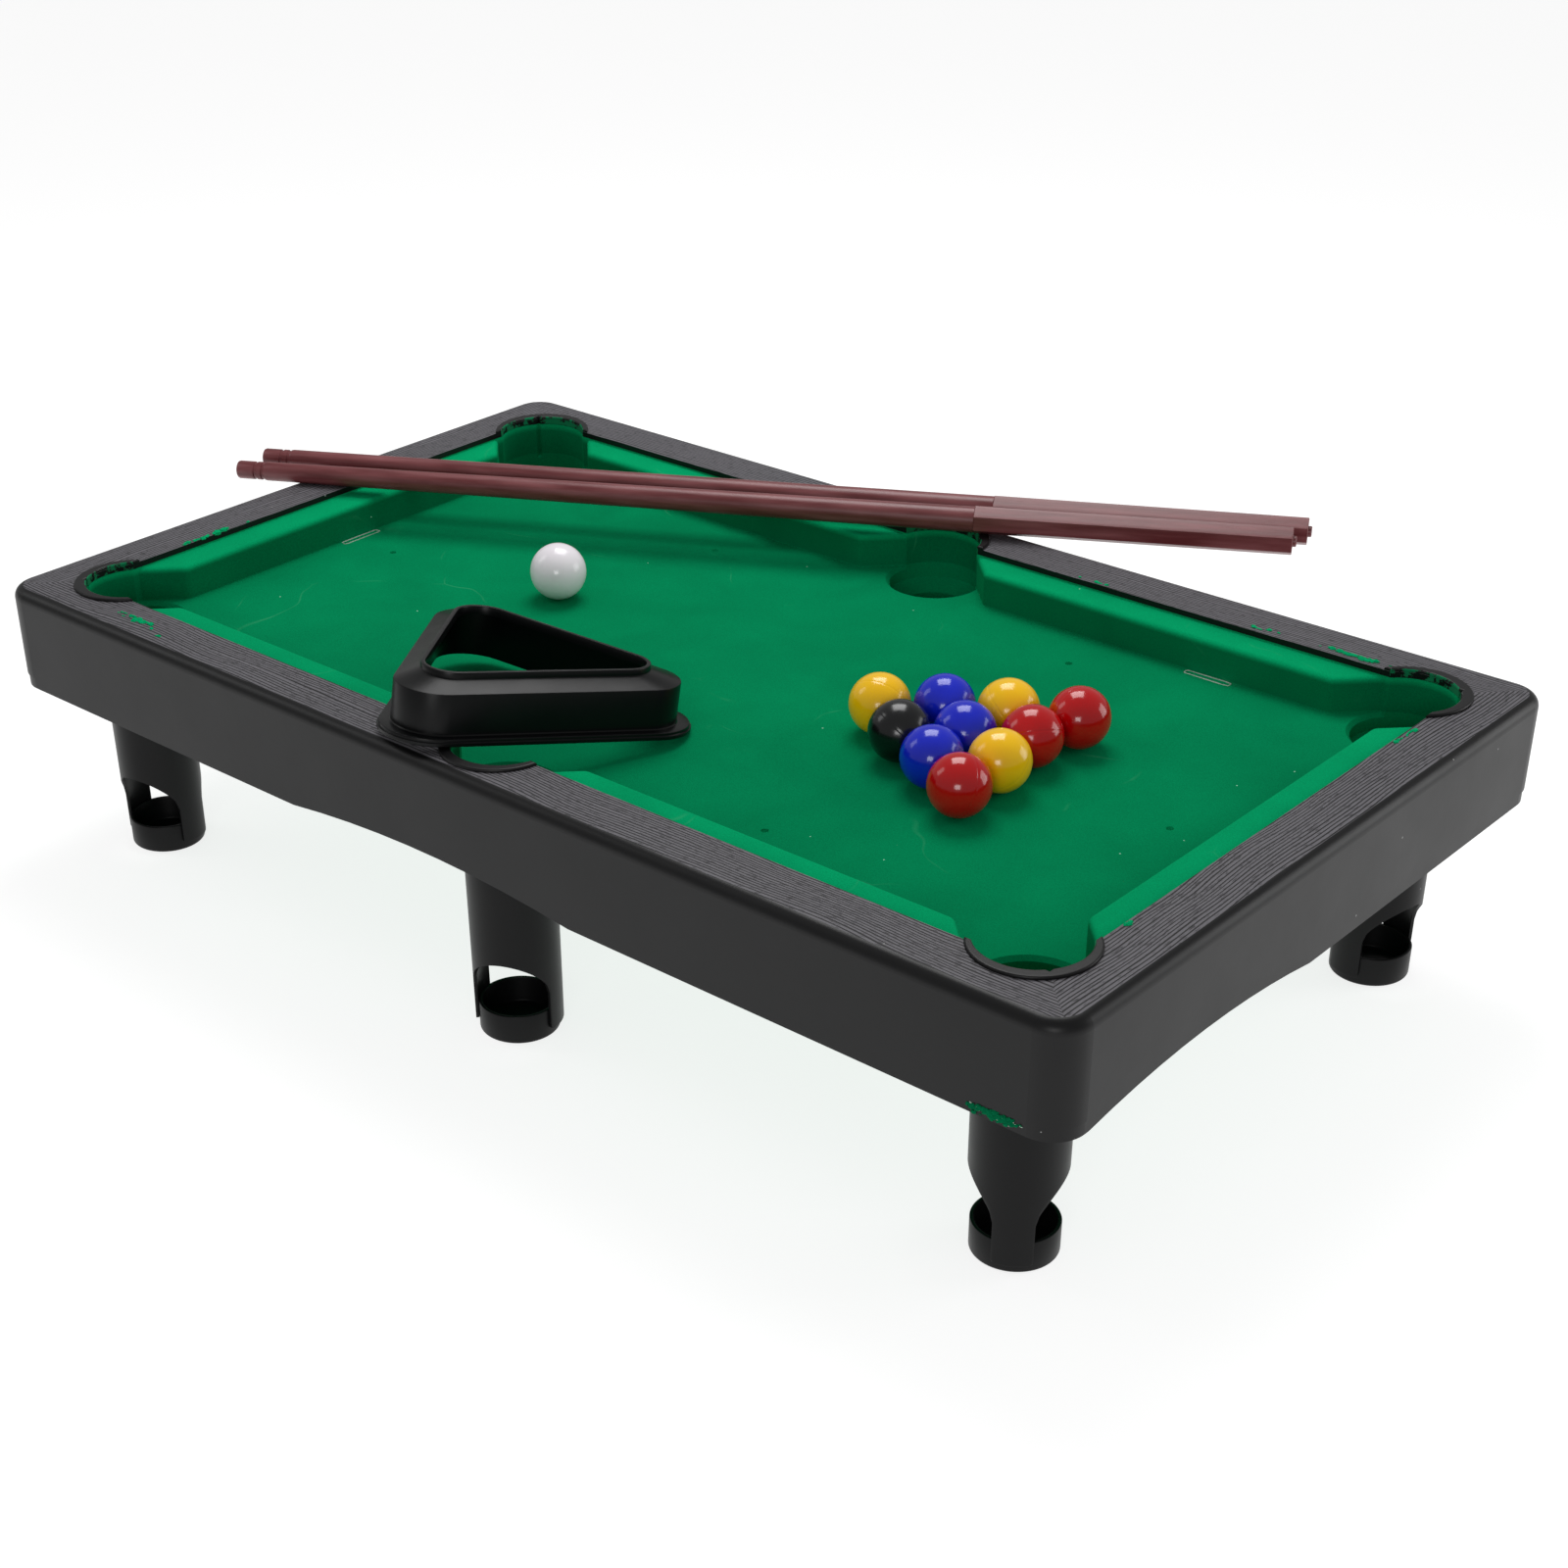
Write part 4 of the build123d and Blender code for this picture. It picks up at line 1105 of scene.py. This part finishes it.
# ---- Stray flock ----
@dataclass
class Crumbs:
    """Crumbs of flock that settled on the rails and skirt."""

    name: str
    centre: Point
    spread: tuple[float, float]
    count: int
    size: tuple[float, float]
    seed: int
    finish: Finish = TUFT
    turn: float = 0.0
    upright: bool = False

    def build(self) -> None:
        """Models one crumb, then scatters copies of it and joins them into one piece."""
        draw = random.Random(self.seed)
        crumbs = []
        for _ in range(self.count):
            select_none()
            bpy.ops.mesh.primitive_ico_sphere_add(subdivisions=2, radius=1.0)
            crumb = bpy.context.object
            long = draw.uniform(*self.size)
            wide = long * draw.uniform(0.3, 0.8)
            thick = min(long, wide) * 0.35
            for vertex in crumb.data.vertices:
                lump = draw.uniform(0.65, 1.25)
                vertex.co = (vertex.co.x * long / 2 * lump, vertex.co.y * wide / 2 * lump,
                             vertex.co.z * thick * draw.uniform(0.6, 1.2))
            x = draw.gauss(0, 0.45) * self.spread[0]
            y = draw.gauss(0, 0.45) * self.spread[1]
            spin = Matrix.Rotation(math.radians(self.turn + draw.uniform(-30, 30)), 4, "Z")
            stand = Matrix.Rotation(math.radians(90), 4, "X") if self.upright else Matrix.Identity(4)
            shift = Vector((x, 0, y)) if self.upright else Vector((x, y, 0))
            crumb.data.transform(Matrix.Translation(Vector(self.centre) + shift) @ stand @ spin)
            crumbs.append(crumb)
        select_none()
        for crumb in crumbs:
            crumb.select_set(True)
        bpy.context.view_layer.objects.active = crumbs[0]
        bpy.ops.object.join()
        piece = bpy.context.object
        piece.name = piece.data.name = self.name
        dress(piece, self.finish)
        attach(piece, "table")
        LOG.info("%s: %d crumbs", self.name, self.count)


# ---- Studio ----
@dataclass
class Studio:
    """Pale floor, soft overhead light and the camera."""

    eye: Point = (0.5798, -0.6589, 0.4943)
    azimuth: float = 41.58
    elevation: float = 31.97
    roll: float = -0.64
    lens: float = 57.87
    shift: tuple[float, float] = (0.0334, 0.1454)
    floor_radius: float = 9.0
    sky: float = 0.36
    sensor: float = 36.0
    panels: tuple[tuple[str, Point, tuple[float, float], float], ...] = (
        ("overhead_panel", (-0.22, 0.32, 0.9), (0.5, 0.5), 4.6),
        ("right_panel", (0.75, 0.75, 0.35), (0.5, 0.5), 2.2),
        ("left_panel", (-1.1, -0.5, 0.9), (0.4, 0.6), 1.4),
        ("front_panel", (0.75, -1.15, 0.55), (0.45, 0.35), 3.2),
    )

    def camera(self) -> None:
        """Sets the camera, level with the table's near corner."""
        a, e, r = (math.radians(v) for v in (self.azimuth, self.elevation, self.roll))
        back = Vector((math.sin(a) * math.cos(e), -math.cos(a) * math.cos(e), math.sin(e)))
        right = (-back).cross(Vector((0, 0, 1))).normalized()
        up = right.cross(-back)
        turned = right * math.cos(r) + up * math.sin(r)
        raised = up * math.cos(r) - right * math.sin(r)
        data = bpy.data.cameras.new("camera")
        data.lens, data.sensor_width = self.lens, self.sensor
        data.shift_x, data.shift_y = self.shift
        data.clip_start, data.clip_end = 0.01, 50.0
        camera = bpy.data.objects.new("camera", data)
        axes = Matrix((turned, raised, back)).transposed().to_4x4()
        camera.matrix_world = Matrix.Translation(self.eye) @ axes
        bpy.context.scene.collection.objects.link(camera)
        bpy.context.scene.camera = camera

    def light(self, name: str, place: Point, size: tuple[float, float], power: float) -> None:
        """Adds one soft panel that faces the middle of the bed."""
        data = bpy.data.lights.new(name, "AREA")
        data.shape = "RECTANGLE"
        data.size, data.size_y = size
        data.energy = power
        lamp = bpy.data.objects.new(name, data)
        aim = Vector((0.0, 0.0, 0.1)) - Vector(place)
        lamp.matrix_world = Matrix.Translation(place) @ aim.to_track_quat("-Z", "Y").to_matrix().to_4x4()
        lamp.visible_camera = False
        bpy.context.scene.collection.objects.link(lamp)

    def build(self) -> None:
        """Sets the floor, sky, lights and camera."""
        select_none()
        bpy.ops.mesh.primitive_circle_add(vertices=96, radius=self.floor_radius, fill_type="NGON")
        floor = bpy.context.object
        floor.name = "floor"
        dress(floor, OPAL)
        scene = bpy.context.scene
        world = bpy.data.worlds.new("studio")
        scene.world = world
        world.use_nodes = True
        world.node_tree.nodes["Background"].inputs["Color"].default_value = linear("#ffffff")
        world.node_tree.nodes["Background"].inputs["Strength"].default_value = self.sky
        for panel in self.panels:
            self.light(*panel)
        scene.view_settings.view_transform = "Standard"
        self.camera()


@dataclass
class PoolTable:
    """The whole set."""

    legs: dict[str, float] = field(default_factory=lambda: {
        "front_left": 11.0, "front_middle": 26.0, "front_right": -58.0,
        "rear_left": 35.0, "rear_middle": -20.0, "rear_right": -102.0})
    seed: int = 11

    def balls(self) -> list[Ball]:
        """One ball for each node that holds one."""
        draw = random.Random(self.seed)
        seams = {"ball_red_1": (68.0, 8.0, -32.0), "ball_red_3": (86.0, 10.0, 62.0)}
        made = []
        for node in sorted(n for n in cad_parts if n.startswith("ball_")):
            colour = node.split("_")[1]
            slot = "ball_white" if colour == "cue" else f"ball_{colour}"
            tilt = (draw.uniform(100, 170), draw.uniform(-20, 20), draw.uniform(0, 360))
            made.append(Ball(node, BALLS[colour], slot, seams.get(node, tilt)))
        return made

    def crumbs(self) -> list[Crumbs]:
        """Stray flock on the rail tops and on the skirt's lower band."""
        top = 113.68 * MM
        spots = [
            ("crumbs_rear_right", (186 * MM, 130.5 * MM, top),
             (13 * MM, 1.6 * MM), 26, (1.2 * MM, 4.0 * MM), 0.0),
            ("crumbs_rear_rail", (152 * MM, 131.0 * MM, top),
             (9 * MM, 1.5 * MM), 5, (1.5 * MM, 3.0 * MM), 0.0),
            ("crumbs_rear_middle", (74 * MM, 128.2 * MM, top),
             (16 * MM, 0.5 * MM), 6, (1.2 * MM, 3.0 * MM), 0.0),
            ("crumbs_front_left", (-183 * MM, -137 * MM, top),
             (13 * MM, 2.2 * MM), 34, (0.8 * MM, 3.2 * MM), -8.0),
            ("crumbs_front_left_lone", (-166 * MM, -141 * MM, top),
             (1.2 * MM, 1 * MM), 4, (1.4 * MM, 3 * MM), 0.0),
            ("crumbs_left", (-232.6 * MM, -62 * MM, top),
             (0.7 * MM, 22 * MM), 22, (1.2 * MM, 4.0 * MM), 90.0),
            ("crumbs_front_right", (233.0 * MM, -88 * MM, top),
             (0.9 * MM, 2.4 * MM), 9, (1.2 * MM, 3.4 * MM), 90.0),
            ("crumbs_right_end", (233.4 * MM, 84 * MM, top),
             (0.6 * MM, 8 * MM), 10, (1.0 * MM, 3.0 * MM), 90.0),
        ]
        made = [Crumbs(name, place, spread, count, size, self.seed + i, turn=turn)
                for i, (name, place, spread, count, size, turn) in enumerate(spots)]
        band = (231 * MM, -149.6 * MM, 75.0 * MM)
        # The skirt's crumbs take the darker copy of the flock: painted shade.
        made.append(Crumbs("crumbs_skirt", band, (9 * MM, 1.4 * MM), 150, (0.8 * MM, 2.4 * MM),
                           self.seed + 20, finish=SHADED_SKIRT_TUFT, upright=True))
        made.append(Crumbs("glue_skirt", band, (10 * MM, 1.6 * MM), 40, (0.4 * MM, 1.2 * MM),
                           self.seed + 21, finish=GLUE, upright=True))
        return made

    def build(self) -> None:
        """Builds every piece of the set."""
        RailFrame().build()
        BedTray().build()
        for name, turn in self.legs.items():
            Leg(name, turn).build()
        for ball in self.balls():
            ball.build()
        Cue("cue_front").build()
        Cue("cue_rear").build()
        Rack().build()
        for crumbs in self.crumbs():
            crumbs.build()


def plain(box: Sequence[Sequence[float]]) -> list[list[float]]:
    """A box as plain lists of numbers."""
    return [[float(value) for value in corner] for corner in box]


def main() -> None:
    """Builds the set and the studio."""
    logging.basicConfig(level=logging.INFO, format="%(name)s: %(message)s")
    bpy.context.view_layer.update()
    PoolTable().build()
    Studio().build()


if __name__ == "__main__":
    main()
